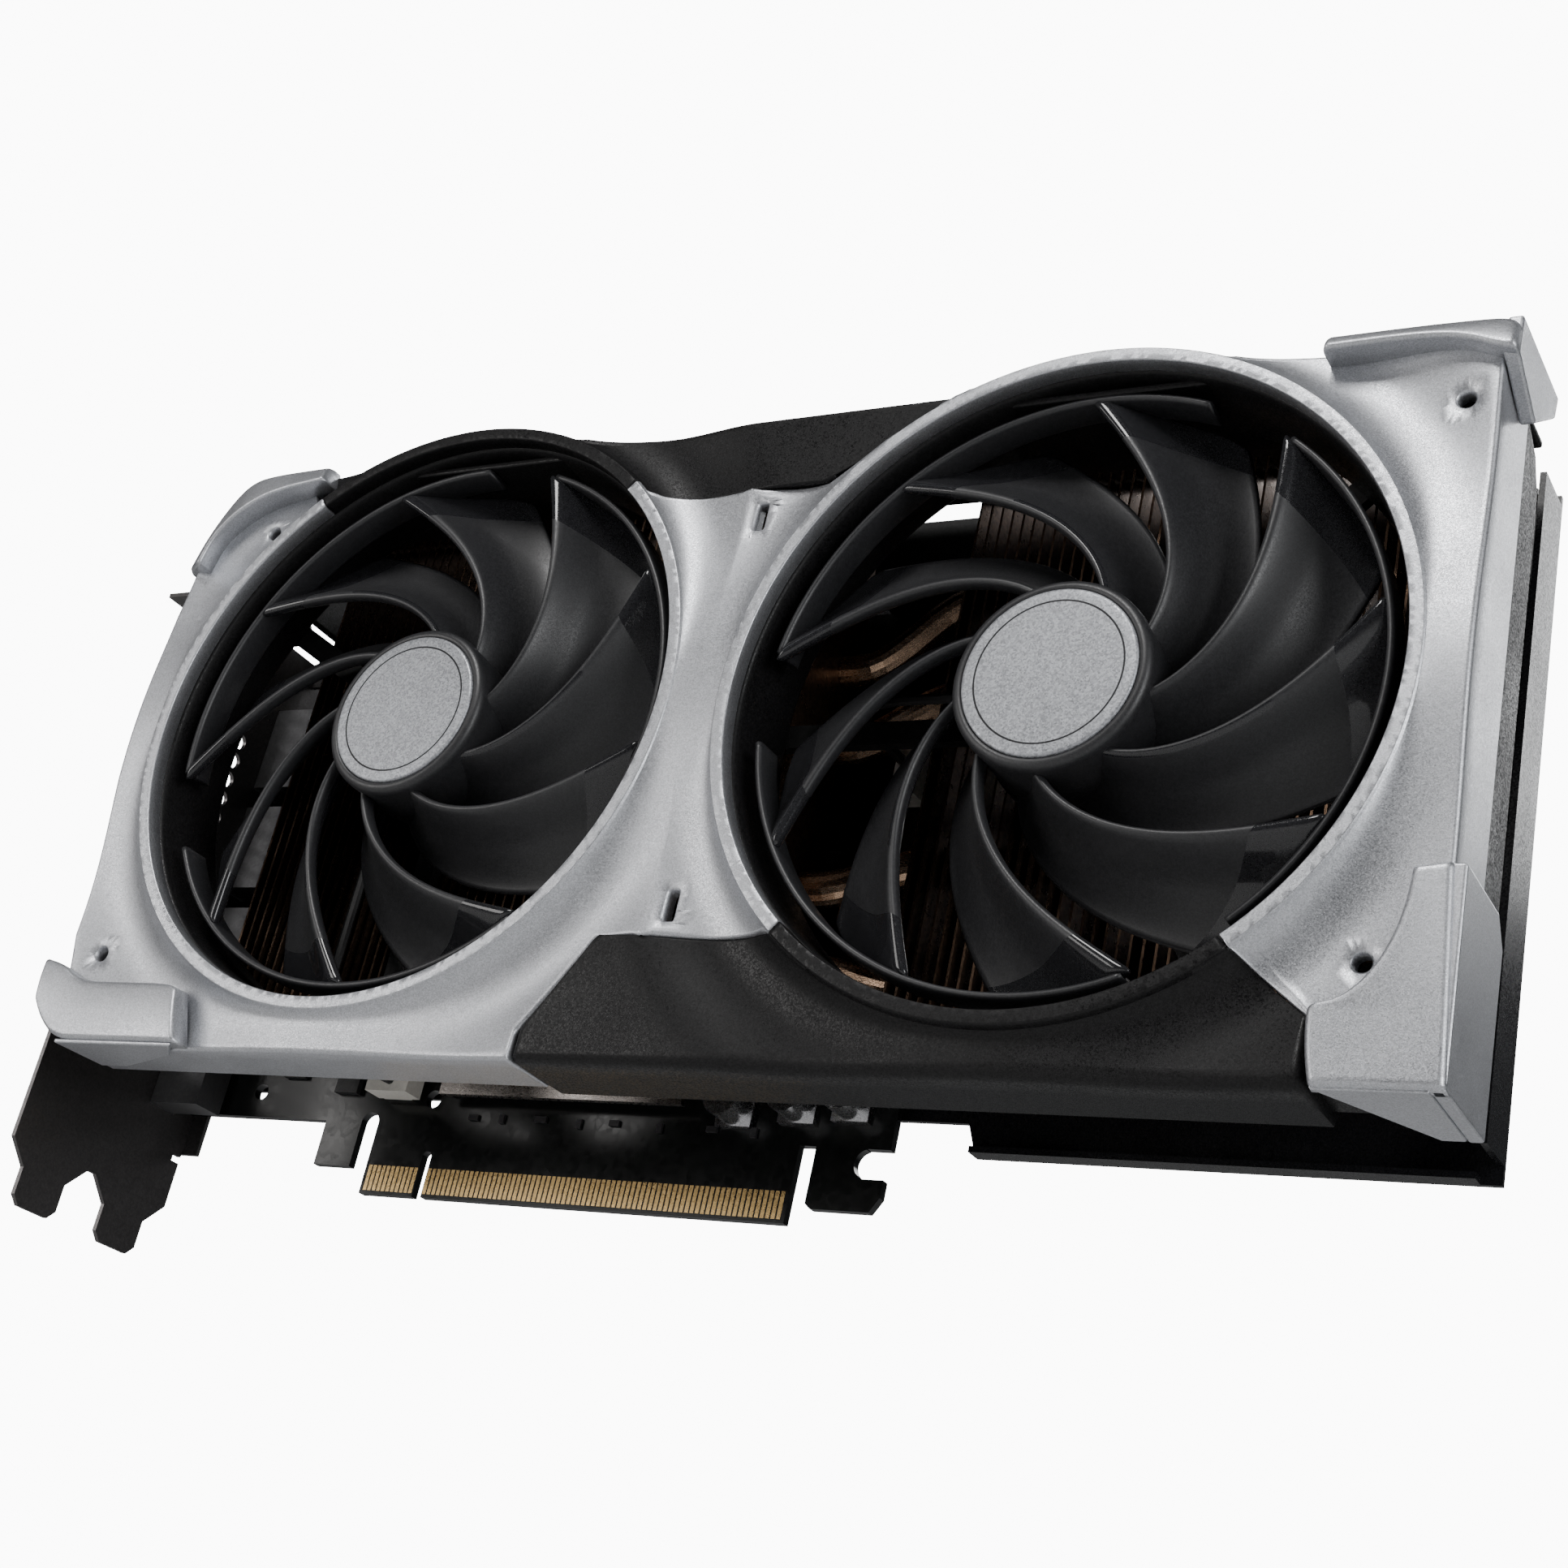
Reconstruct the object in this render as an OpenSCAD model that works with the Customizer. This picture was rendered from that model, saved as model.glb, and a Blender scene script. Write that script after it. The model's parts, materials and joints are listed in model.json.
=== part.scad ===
// Dual-fan graphics card, built the way it comes apart on a bench.
// X runs along the card from the bracket to the free end, -Y is the fan side, +Z is up.
// The origin is the centre of the key notch, in the board's mid plane, at the contact edge.

/* [Board] */
// Board thickness
board_t = 1.57; // [1.4:0.01:1.7]
// Bracket end of the board
board_x0 = -58; // [-59:0.5:-56]
// Free end of the board
board_x1 = 88.8; // [88:0.1:92]
// Lower edge of the board beside the contact fingers
board_z0 = 12.6; // [12.4:0.1:13]
// Upper edge of the board
board_z1 = 109; // [106:1:111]
// Length of the short contact finger
finger_short = 11.65; // [11.6:0.01:11.7]
// Length of the long contact finger
finger_long = 71.65; // [71.6:0.01:71.7]
// Width of the key notch between the two fingers
key_w = 1.9; // [1.8:0.01:2]
// Pitch of the gold contacts
contact_pitch = 1; // [1:1:1]

/* [Bracket] */
// Outer face of the bracket
bracket_x = -61; // [-61.5:0.1:-60.8]
// Sheet thickness of the bracket
bracket_t = 0.86; // [0.8:0.01:0.9]
// Overall height of the bracket
bracket_h = 120.02; // [119.8:0.01:120.2]
// Lower end of the bracket tongues
tongue_z = -14.6; // [-15:0.1:-14.2]
// Pitch of the expansion slots
slot_pitch = 20.32; // [20.32:0.01:20.32]
// Width of one slot cover
slot_w = 18.42; // [18.4:0.01:18.5]
// Width of a bracket tongue
tongue_w = 10.19; // [10.1:0.01:10.2]
// How far the screw tab reaches outwards
tab_len = 11.4; // [11:0.1:11.6]

/* [Shroud] */
// Distance from the board's mid plane to the front of the fan rings
shroud_depth = 44.8; // [44.5:0.1:46]
// Free end of the shroud
end_x = 184; // [183:0.5:185]
// Upper face of the shroud
top_z = 122.4; // [122:0.1:123]
// Lower face of the shroud
low_z = 10; // [9.8:0.1:10.2]
// Wall thickness of the moulded shroud
wall = 1.7; // [1.4:0.1:2]

/* [Fans] */
// Centre of the left fan along the card
fan_x1 = 4.4; // [4:0.1:5]
// Centre of the right fan along the card
fan_x2 = 122.8; // [122:0.1:123]
// Height of both fan centres
fan_z = 71.3; // [71:0.1:71.5]
// Inner radius of the ring around each fan
ring_r = 52.5; // [52:0.1:53]
// Outer radius of the blade ring
rotor_r = 49.4; // [48.5:0.1:49.8]
// Number of blades on each fan
blade_count = 9; // [9:1:9]
// Radius of the motor hub
hub_r = 15.6; // [15:0.1:16]
// Radius of the motor shaft
shaft_r = 1.5; // [1.4:0.05:1.6]
// Radial running clearance of the shaft in its bearing
shaft_gap = 0.03; // [0.02:0.01:0.06]

/* [Cooler] */
// Pitch of the cooling fins
fin_pitch = 2; // [1.8:0.1:2.4]
// Sheet thickness of a fin
fin_t = 0.4; // [0.3:0.05:0.5]
// Radius of a heat pipe
pipe_r = 3; // [2.8:0.1:3]

/* [Hidden] */
$fn = 64;

// Depths are measured backwards from the front of the fan rings.
board_front = shroud_depth - board_t / 2;
board_back = shroud_depth + board_t / 2;
cover_d0 = 1.2;
cover_d1 = 3;
base_d1 = 5.2;
duct_d1 = 18;
frame_d1 = 20;
fin_d0 = 21.5;
fin_d1 = 37.5;
side_d1 = 30;
left_wall_d1 = 38;
underside_d1 = 16;
plate_d0 = 47.3;
plate_t = 1;
rotor_d1 = 14.6;
fin_z0 = 25;
fin_z1 = 118.5;
main_x0 = -36;
main_x1 = 69;
tail_x0 = 95;
tail_x1 = 168.5;
bracket_lug_z = [30.3, 104.5];
gpu_x = 30;
gpu_z = 62;
lip_w = 2.2;

// Sweep of the blades: the leading edge turns fast at the hub and slower at the tip.
sweep_1 = 2.76;
sweep_2 = 0.0284;
chord_root = 33;
chord_tip = 27;
left_phase = 12.2;
right_phase = -7.5;
arc_span = 96;

well_points = [[-47.3, 26.8], [-40.8, 110.8], [179, 111.4], [173.2, 27.2]];
post_points = [[174.2, 114.6], [173.2, 27.2]];
pipe_main_z = [38, 52, 78, 92];
pipe_tail_z = [34, 56, 86, 104];
retention_r = [24, 24];
backplate_points = [[-44, 30.3], [-50, 97], [84, 104], [84, 30], [40, 106]];

// Turns a flat outline drawn in X and Z into a slab between two depths.
module slab(d0, d1) {
    translate([0, d1 - shroud_depth, 0])
        rotate([90, 0, 0])
            linear_extrude(d1 - d0)
                children();
}

// A block given by its X range, depth range and Z range.
module block(x, d, z) {
    translate([x[0], d[0] - shroud_depth, z[0]])
        cube([x[1] - x[0], d[1] - d[0], z[1] - z[0]]);
}

// A round bar along the depth at (x, z).
module peg(x, z, r, d0, d1) {
    translate([x, d0 - shroud_depth, z])
        rotate([-90, 0, 0])
            cylinder(r = r, h = d1 - d0);
}

module ring(x, r0, r1, d0, d1) {
    slab(d0, d1)
        translate([x, fan_z])
            difference() {
                circle(r = r1, $fn = 128);
                circle(r = r0, $fn = 128);
            }
}

// A flat sector used to cut rings into arcs, from angle a0 to a1.
module wedge(x, a0, a1) {
    reach = 80;
    steps = 6;
    translate([x, fan_z])
        polygon(concat([[0, 0]],
            [for (i = [0:steps]) reach * [cos(a0 + (a1 - a0) * i / steps),
                                          sin(a0 + (a1 - a0) * i / steps)]]));
}

// Outline of the whole shroud front.
module shroud_outline() {
    polygon([[-47, low_z], [end_x, low_z], [end_x, top_z],
        [-46, top_z - 0.5], [-52, 117], [-56.6, 103], [-56.8, 92], [-56, 60], [-54.4, 30],
        [-50, 16]]);
}

// The two dark panels of the base that stay uncovered, above and below the middle.
module upper_panel() {
    polygon([[-25, top_z], [-27.5, 113], [0, 90], [41, 109.5], [77, 109.5], [98, top_z]]);
}

module lower_panel() {
    polygon([[45, low_z], [45, 14.5], [55, 29.8], [84.6, 29.8], [122, 52], [157, 28],
        [167.6, 19.6], [167.6, low_z]]);
}

module fan_holes(r) {
    for (x = [fan_x1, fan_x2])
        translate([x, fan_z])
            circle(r = r, $fn = 128);
}

// T-shaped clip slots through the middle of the cover.
module clip_slots() {
    translate([63.3, 101])
        square([2.2, 7]);
    translate([62, 106.5])
        square([5, 4.5]);
    translate([66, 31])
        square([2.2, 7]);
    translate([64.4, 27.5])
        square([5, 4.5]);
}

module shroud_base() {
    color([0.06, 0.06, 0.065])
        difference() {
            union() {
                slab(cover_d1 + 0.1, base_d1)
                    difference() {
                        intersection() {
                            shroud_outline();
                            translate([-54, low_z + wall])
                                square([end_x - wall + 54, top_z - low_z - wall]);
                        }
                        fan_holes(ring_r + 0.3);
                    }
                slab(cover_d0, base_d1)
                    difference() {
                        union() {
                            upper_panel();
                            lower_panel();
                        }
                        fan_holes(ring_r + 0.3);
                        silver_lips();
                    }
                for (x = [fan_x1, fan_x2])
                    ring(x, ring_r - 0.5, ring_r + 1.1, cover_d1 + 0.1, duct_d1);
                slab(0, duct_d1)
                    black_lips();
                block([-46, end_x - wall], [cover_d1 + 0.1, side_d1], [top_z - wall, top_z - 0.5]);
                block([-51.4, -51.4 + wall], [cover_d1 + 0.2, left_wall_d1], [107, 118.5]);
                block([end_x - 2 * wall, end_x - wall], [cover_d1 + 0.1, side_d1],
                    [low_z + wall, top_z]);
                block([46, 167], [cover_d0, underside_d1], [low_z, low_z + wall]);
                block([-47, end_x - wall], [cover_d1 + 0.1, underside_d1],
                    [low_z + wall + 0.05, low_z + 2 * wall]);
                for (p = well_points)
                    peg(p[0], p[1], 3.2, cover_d1 + 0.1, side_d1);
                for (p = post_points)
                    peg(p[0], p[1], 3, cover_d1 + 0.1, plate_d0 - 0.05);
                fan_bosses();
            }
            for (p = well_points) {
                peg(p[0], p[1], 2, -1, 9);
                peg(p[0], p[1], 1.25, 8, 20);
            }
            for (p = post_points)
                peg(p[0], p[1], 1.25, plate_d0 - 12, plate_d0 + 1);
            boss_holes();
            slab(cover_d0 - 1, base_d1 + 1)
                clip_slots();
            block([left_lead_x - 2.5, left_lead_x + 2.5], [14, duct_d1 + 1], [16, 24]);
        }
}

// The arcs of the two ring lips that belong to the cover.
module silver_lips() {
    difference() {
        fan_holes(ring_r + lip_w);
        fan_holes(ring_r);
        wedge(fan_x1, 47, 127);
        wedge(fan_x2, -131, -52);
    }
}

// The uncovered arcs of the two ring lips, opposite each other.
module black_lips() {
    difference() {
        union() {
            intersection() {
                translate([fan_x1, fan_z])
                    circle(r = ring_r + lip_w, $fn = 128);
                wedge(fan_x1, 47, 127);
            }
            intersection() {
                translate([fan_x2, fan_z])
                    circle(r = ring_r + lip_w, $fn = 128);
                wedge(fan_x2, -131, -52);
            }
        }
        fan_holes(ring_r);
    }
}

arm_angles = [[-90, 30, 150], [180, 45, -60]];
arm_r = 55.8;

function fan_x(i) = i == 0 ? fan_x1 : fan_x2;

module fan_bosses() {
    for (i = [0, 1], a = arm_angles[i])
        peg(fan_x(i) + arm_r * cos(a), fan_z + arm_r * sin(a), 2.6, base_d1 - 0.5, duct_d1);
}

module boss_holes() {
    for (i = [0, 1], a = arm_angles[i])
        peg(fan_x(i) + arm_r * cos(a), fan_z + arm_r * sin(a), 1.05, duct_d1 - 6, duct_d1 + 1);
}

// Silver cover: an X-shaped web with a left and a right end, over the dark base.
module shroud_cover() {
    color([0.62, 0.63, 0.66])
        difference() {
            union() {
                slab(cover_d0, cover_d1)
                    difference() {
                        shroud_outline();
                        upper_panel();
                        lower_panel();
                        fan_holes(ring_r);
                        black_lips();
                    }
                slab(0, cover_d1)
                    silver_lips();
                block([-47, 44.9], [cover_d0, underside_d1 - 2], [low_z, low_z + wall]);
                block([167.8, end_x], [cover_d0, underside_d1], [low_z, low_z + wall]);
                block([end_x - wall + 0.05, end_x], [cover_d0, underside_d1], [low_z, top_z]);
                block([98, end_x], [cover_d0, cover_d1], [top_z - wall, top_z]);
                block([98, end_x], [cover_d0, 12], [top_z + 0.05, top_z + 0.9]);
            }
            for (p = well_points)
                peg(p[0], p[1], 1.6, -1, 9);
            slab(cover_d0 - 1, base_d1 + 1)
                clip_slots();
            for (x = [fan_x1, fan_x2])
                peg(x, fan_z, ring_r, cover_d0 - 2, underside_d1, $fn = 128);
            for (x = [fan_x1, fan_x2])
                peg(x, fan_z, ring_r + 1.15, cover_d1 + 0.02, underside_d1 + 1, $fn = 128);
        }
}

module corner_cap_top_left() {
    color([0.66, 0.67, 0.70])
        union() {
            slab(-1.2, cover_d0)
                difference() {
                    polygon([[-57.6, 103], [-52.5, 117.5], [-50, 121], [-47, 122.6], [-30.5, 122.6],
                        [-28.5, 118.6], [-34.6, 118.2], [-40.3, 117.4], [-47.1, 114],
                        [-51.2, 109.2], [-52.8, 103]]);
                    fan_holes(ring_r + lip_w + 0.3);
                }
            block([-46, -30], [-1.2, 10], [122.45, 123.4]);
        }
}

module corner_cap_top_right() {
    color([0.66, 0.67, 0.70])
        union() {
            slab(-1.6, cover_d0)
                polygon([[158.3, 123.4], [158.3, 120], [171, 120.2], [178, 119.6], [end_x, 116.8],
                    [end_x + 0.05, 116.8], [end_x + 0.05, 123.4]]);
            block([158.3, end_x + 0.05], [-1.6, 22], [123.35, 124]);
            translate([end_x + 0.05, -shroud_depth, 0])
                rotate([90, 0, 90])
                    linear_extrude(2.4)
                        polygon([[-1.6, 122], [-1.6, 116.6], [11, 111.6], [21, 118.6],
                            [22, 124], [0, 124]]);
        }
}

module corner_cap_bottom_left() {
    color([0.66, 0.67, 0.70])
        union() {
            slab(-1.8, cover_d0)
                polygon([[-56.2, 24.6], [-53.6, 24.2], [-50, 22.2], [-45, 20.3], [-26.6, 20.3],
                    [-23.4, 19.6], [-19, low_z - 0.2], [-47, low_z - 0.2], [-52, 13.5],
                    [-54.5, 17]]);
            block([-47, -19.5], [-1.8, 10], [low_z - 0.8, low_z - 0.05]);
        }
}

module corner_cap_bottom_right() {
    guard_r = 19.4;
    color([0.66, 0.67, 0.70])
        union() {
            slab(-0.8, cover_d0)
                difference() {
                    polygon([[179.4, 39.8], [end_x + 0.6, 39.8], [end_x + 2.4, low_z - 0.6],
                        [169, low_z - 0.6], [167.8, 20.2]]);
                    translate([160, 39.8])
                        circle(r = guard_r);
                    fan_holes(ring_r + lip_w + 0.3);
                }
            translate([end_x + 0.05, -shroud_depth, 0])
                rotate([90, 0, 90])
                    linear_extrude(2.2)
                        polygon([[-0.8, 39.8], [-0.8, low_z - 0.6], [19, low_z - 0.6],
                            [19.4, 36], [16, 39.8]]);
            block([169, end_x + 0.06], [-0.8, 18], [low_z - 0.85, low_z - 0.05]);
        }
}

module screw(x, z, head_r, head_d, tip_d, shank_r) {
    toward = head_d < tip_d ? 1 : -1;
    head_h = 1.4;
    drive_h = 0.8;
    union() {
        difference() {
            peg(x, z, head_r, min(head_d, head_d + toward * head_h),
                max(head_d, head_d + toward * head_h));
            for (a = [0, 90])
                translate([x, head_d + toward * drive_h / 2 - shroud_depth, z])
                    rotate([0, a, 0])
                        cube([head_r * 1.1, drive_h + 0.02, head_r * 0.3], center = true);
        }
        peg(x, z, shank_r, min(head_d + toward * head_h, tip_d),
            max(head_d + toward * head_h, tip_d));
    }
}

module shroud_screws() {
    color([0.2, 0.2, 0.21])
        for (p = well_points)
            screw(p[0], p[1], 1.9, 7.6, 17, 1.2);
}

// Board outline with the contact fingers, the key notch and the retention hook.
module board_outline() {
    x_short = -key_w / 2 - finger_short;
    x_long = key_w / 2 + finger_long;
    notch_top = 8.1;
    tab_z = 4.6;
    difference() {
        union() {
            translate([board_x0, board_z0])
                square([board_x1 - board_x0, board_z1 - board_z0]);
            translate([-24.5, tab_z])
                square([8.1, board_z0 - tab_z + 1]);
            translate([x_short, 0])
                square([x_long - x_short, board_z0 + 1]);
            polygon([[75.6, 20], [75.6, 3.4], [76.6, 2.6], [87, 2.6], [88.5, 5], [88.5, 20]]);
        }
        translate([0, notch_top - key_w / 2])
            circle(r = key_w / 2);
        translate([-key_w / 2, -2])
            square([key_w, notch_top - key_w / 2 + 2]);
        translate([-14.5, board_z0])
            circle(r = 1.9);
        translate([84.6, 7.8])
            square([10, 4.8]);
        translate([85.3, 10.2])
            circle(r = 2.4);
        for (p = backplate_points)
            translate(p)
                circle(r = 1.5);
        for (sx = [-1, 1], sz = [-1, 1])
            translate([gpu_x + sx * retention_r[0], gpu_z + sz * retention_r[1]])
                circle(r = 1.5);
        translate([-1.9, 17.4])
            circle(r = 1.6);
        translate([-41.5, 17.3])
            circle(r = 1.5);
    }
}

module circuit_board() {
    color([0.03, 0.035, 0.035])
        slab(board_front, board_back)
            board_outline();
}

module edge_contacts() {
    pad_w = 0.7;
    pad_t = 0.04;
    pad_z = [0.6, 5.1];
    pads = concat([for (i = [0:10]) -11.5 + i * contact_pitch],
        [for (i = [0:70]) 1.5 + i * contact_pitch]);
    color([0.72, 0.52, 0.22])
        for (x = pads) {
            block([x - pad_w / 2, x + pad_w / 2], [board_front - pad_t, board_front], pad_z);
            block([x - pad_w / 2, x + pad_w / 2], [board_back, board_back + pad_t], pad_z);
        }
}

bracket_d1 = board_front + 4;
bracket_d0 = bracket_d1 - slot_w - slot_pitch;
port_d = [36.4, 43.1];
hdmi_z = 19.5;
dp_z = [42, 63, 84];

// Outline of the bracket plate, drawn as depth against height.
module bracket_outline() {
    flare = (slot_w - tongue_w) / 2;
    shoulder = tongue_z + 6.4;
    union() {
        translate([bracket_d0, shoulder + flare])
            square([slot_w + slot_pitch, bracket_h + tongue_z - shoulder - flare]);
        for (i = [0, 1])
            translate([bracket_d0 + i * slot_pitch, 0])
                polygon([[0, shoulder + flare + 0.1], [0, shoulder + flare], [flare, shoulder],
                    [flare, tongue_z + 1.6], [flare + 1.6, tongue_z],
                    [flare + tongue_w - 1.6, tongue_z], [flare + tongue_w, tongue_z + 1.6],
                    [flare + tongue_w, shoulder], [slot_w, shoulder + flare],
                    [slot_w, shoulder + flare + 0.1]]);
    }
}

// Folded steel bracket with two tongues, a screw tab, vents and the display openings.
module slot_bracket() {
    vent_r = 1.5;
    vent_pitch = 4;
    tab_z1 = tongue_z + bracket_h;
    color([0.33, 0.31, 0.31])
        union() {
            translate([bracket_x, -shroud_depth, 0])
                rotate([90, 0, 90])
                    linear_extrude(bracket_t)
                        difference() {
                            bracket_outline();
                            for (i = [0:4], j = [0:19])
                                translate([bracket_d0 + 4.2 + i * vent_pitch, 22 + j * vent_pitch])
                                    circle(r = vent_r, $fn = 20);
                            for (z = dp_z)
                                translate([port_d[0] + 0.1, z - 8.6])
                                    square([port_d[1] - port_d[0] - 0.2, 17.2]);
                            translate([port_d[0] + 0.1, hdmi_z - 7.7])
                                square([port_d[1] - port_d[0] - 0.2, 15.4]);
                            translate([bracket_d1 - 2, 4.1])
                                square([3, 1.2]);
                        }
            difference() {
                block([bracket_x - tab_len, bracket_x + 0.01],
                    [bracket_d0 + 2.4, bracket_d1 - 0.6], [tab_z1 - bracket_t, tab_z1]);
                for (i = [0, 1])
                    translate([bracket_x - tab_len + 3.6,
                        bracket_d0 + slot_w / 2 + i * slot_pitch - shroud_depth, tab_z1 - 2])
                        union() {
                            cylinder(r = 2.2, h = 4);
                            translate([-8, -2.2, 0])
                                cube([8, 4.4, 4]);
                        }
            }
            block([bracket_x, bracket_x + 4.4], [bracket_d1, bracket_d1 + bracket_t],
                [5.9, tab_z1 - 8]);
            for (z = bracket_lug_z)
                difference() {
                    block([bracket_x + 0.4, bracket_x + 11],
                        [board_front - bracket_t - 0.05, board_front - 0.05], [z - 3.4, z + 3.4]);
                    peg(bracket_x + 7.4, z, 1.6, board_front - 3, board_front + 3);
                }
        }
}

module bracket_screws() {
    color([0.55, 0.55, 0.56])
        for (z = bracket_lug_z)
            screw(bracket_x + 7.4, z, 2.4, board_front - bracket_t - 0.1 - 1.4,
                board_front - 0.05, 1.3);
}

// A drawn metal shell, open towards the bracket, with its mouth in the bracket's opening.
module socket_shell(z, half, depth_in) {
    shell_t = 0.4;
    difference() {
        block([bracket_x - 0.5, bracket_x + depth_in], [port_d[0] + 0.15, port_d[1] - 0.15],
            [z - half, z + half]);
        block([bracket_x - 1, bracket_x + depth_in - 1.2],
            [port_d[0] + 0.15 + shell_t, port_d[1] - 0.15 - shell_t],
            [z - half + shell_t, z + half - shell_t]);
    }
}

module hdmi_socket() {
    color([0.72, 0.72, 0.74])
        union() {
            socket_shell(hdmi_z, 7.5, 12);
        }
}

module displayport_sockets() {
    color([0.72, 0.72, 0.74])
        for (z = dp_z)
            socket_shell(z, 8.4, 13);
}

module socket_tongues() {
    color([0.08, 0.08, 0.08])
        for (z = concat([hdmi_z], dp_z))
            block([bracket_x + 4.5, bracket_x + 10.6], [39.3, 40.4], [z - 5.6, z + 5.6]);
}

power_x = [70, 88.6];
power_d = [33.6, 43.2];
power_z = [107.4, 120.4];

module power_socket() {
    cell = 3.5;
    color([0.05, 0.05, 0.05])
        difference() {
            block(power_x, power_d, power_z);
            for (i = [0:3], j = [0, 1])
                block([power_x[0] + 1.25 + i * 4.2, power_x[0] + 1.25 + i * 4.2 + cell],
                    [power_d[0] + 0.9 + j * 4.2, power_d[0] + 0.9 + j * 4.2 + cell],
                    [power_z[0] + 3, power_z[1] + 1]);
        }
}

module power_pins() {
    pin = 0.55;
    color([0.8, 0.66, 0.3])
        for (i = [0:3], j = [0, 1])
            block([power_x[0] + 3 + i * 4.2 - pin, power_x[0] + 3 + i * 4.2 + pin],
                [power_d[0] + 2.65 + j * 4.2 - pin, power_d[0] + 2.65 + j * 4.2 + pin],
                [power_z[0] + 3, power_z[1] - 4]);
}

module gpu_package() {
    color([0.05, 0.12, 0.07])
        difference() {
            block([gpu_x - 17, gpu_x + 17], [board_front - 1.6, board_front],
                [gpu_z - 17, gpu_z + 17]);
            block([gpu_x - 10, gpu_x + 10], [board_front - 2, board_front - 1.2],
                [gpu_z - 9, gpu_z + 9]);
        }
}

module gpu_die() {
    color([0.45, 0.47, 0.5])
        block([gpu_x - 9.9, gpu_x + 9.9], [board_front - 2.6, board_front - 1.2],
            [gpu_z - 8.9, gpu_z + 8.9]);
}

memory_points = [[-2, 50], [-2, 74], [22, 32], [40, 32], [22, 92], [40, 92]];

function chip_size(p) = abs(p[1] - gpu_z) > 20 ? [14, 12] : [12, 14];

module memory_chips() {
    color([0.07, 0.07, 0.075])
        for (p = memory_points)
            let (s = chip_size(p))
                block([p[0] - s[0] / 2, p[0] + s[0] / 2], [board_front - 1.1, board_front],
                    [p[1] - s[1] / 2, p[1] + s[1] / 2]);
}

stage_z = [for (i = [0:6]) 34 + i * 10];

module power_stages() {
    color([0.06, 0.06, 0.065])
        for (z = stage_z)
            block([-36, -31], [board_front - 1, board_front], [z - 3, z + 3]);
}

module inductors() {
    color([0.2, 0.2, 0.21])
        for (z = stage_z)
            difference() {
                block([-26, -18], [board_front - 4.4, board_front], [z - 4, z + 4]);
                for (s = [-1, 1])
                    block([-27, -25.4], [board_front - 5, board_front + 1],
                        [z + s * 4 - 0.8, z + s * 4 + 0.8]);
            }
}

capacitor_points = [[71.4, 19.2], [81, 19.9], [60, 18.2]];

// Aluminium can capacitors on moulded bases.
module capacitors() {
    color([0.78, 0.78, 0.8])
        for (p = capacitor_points)
            union() {
                block([p[0] - 3.3, p[0] + 3.3], [board_front - 1, board_front],
                    [p[1] - 3.3, p[1] + 3.3]);
                peg(p[0], p[1], 3.15, board_front - 6.2, board_front - 0.9);
            }
}

chip_points = [[-34, 22, 5, 4, 1], [-21, 20, 5, 5, 1.2], [3, 20.4, 3, 4.4, 2],
    [8, 14.4, 2, 1, 0.5], [14, 14.4, 1, 1.6, 0.5], [22, 14.6, 2.4, 1, 0.5],
    [30, 14.2, 1, 1.6, 0.5], [37, 14.6, 2, 1, 0.5], [46, 14.2, 1, 1.6, 0.5],
    [56, 14.4, 2, 1, 0.5], [64, 14.2, 1, 1.6, 0.5], [66, 60, 6, 6, 1], [66, 84, 5, 6, 1],
    [80, 88, 4, 5, 1.4], [80, 50, 6, 4, 1.2]];

module control_chips() {
    color([0.1, 0.1, 0.1])
        for (c = chip_points)
            block([c[0] - c[2] / 2, c[0] + c[2] / 2], [board_front - c[4], board_front],
                [c[1] - c[3] / 2, c[1] + c[3] / 2]);
}

plate_top = board_front - 2.6;

module thermal_pads() {
    color([0.55, 0.58, 0.62])
        union() {
            for (p = memory_points)
                let (s = chip_size(p))
                    block([p[0] - s[0] / 2 + 1, p[0] + s[0] / 2 - 1],
                        [plate_top, board_front - 1.1],
                        [p[1] - s[1] / 2 + 1, p[1] + s[1] / 2 - 1]);
            block([-36, -31], [fin_d1 + 3.1, board_front - 1], [32, 96]);
        }
}

// Base plate over the processor and the memory, with a lower edge near the contacts.
module cold_plate() {
    color([0.5, 0.5, 0.52])
        difference() {
            union() {
                block([-9, 56], [fin_d1 + 0.1, plate_top], [24, 100]);
                block([2, 51.3], [plate_top - 1.2, plate_top], [17.2, 24.1]);
            }
            for (sx = [-1, 1], sz = [-1, 1])
                peg(gpu_x + sx * retention_r[0], gpu_z + sz * retention_r[1], 1.2,
                    fin_d1 + 1, plate_top + 1);
        }
}

module vrm_plate() {
    color([0.3, 0.3, 0.31])
        block([-36, -30], [fin_d1 + 0.1, fin_d1 + 3.1], [28, 100]);
}

pipe_d = fin_d1 - pipe_r - 0.1;
bend_x0 = 72;
bend_x1 = 92;

// One pipe: straight through the main fins, an S-bend in the gap, straight through the tail.
module heat_pipe(z0, z1) {
    steps = 10;
    y = pipe_d - shroud_depth;
    route = concat([[main_x0 - 5, y, z0]],
        [for (k = [0:steps]) let (u = k / steps)
            [bend_x0 + (bend_x1 - bend_x0) * u, y, z0 + (z1 - z0) * (1 - cos(180 * u)) / 2]],
        [[tail_x1 + 4, y, z1]]);
    round_bar(route, [0, 1, 0], pipe_r, 18);
}

module heat_pipes() {
    color([0.45, 0.31, 0.22])
        for (i = [0:3])
            heat_pipe(pipe_main_z[i], pipe_tail_z[i]);
}

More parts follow.
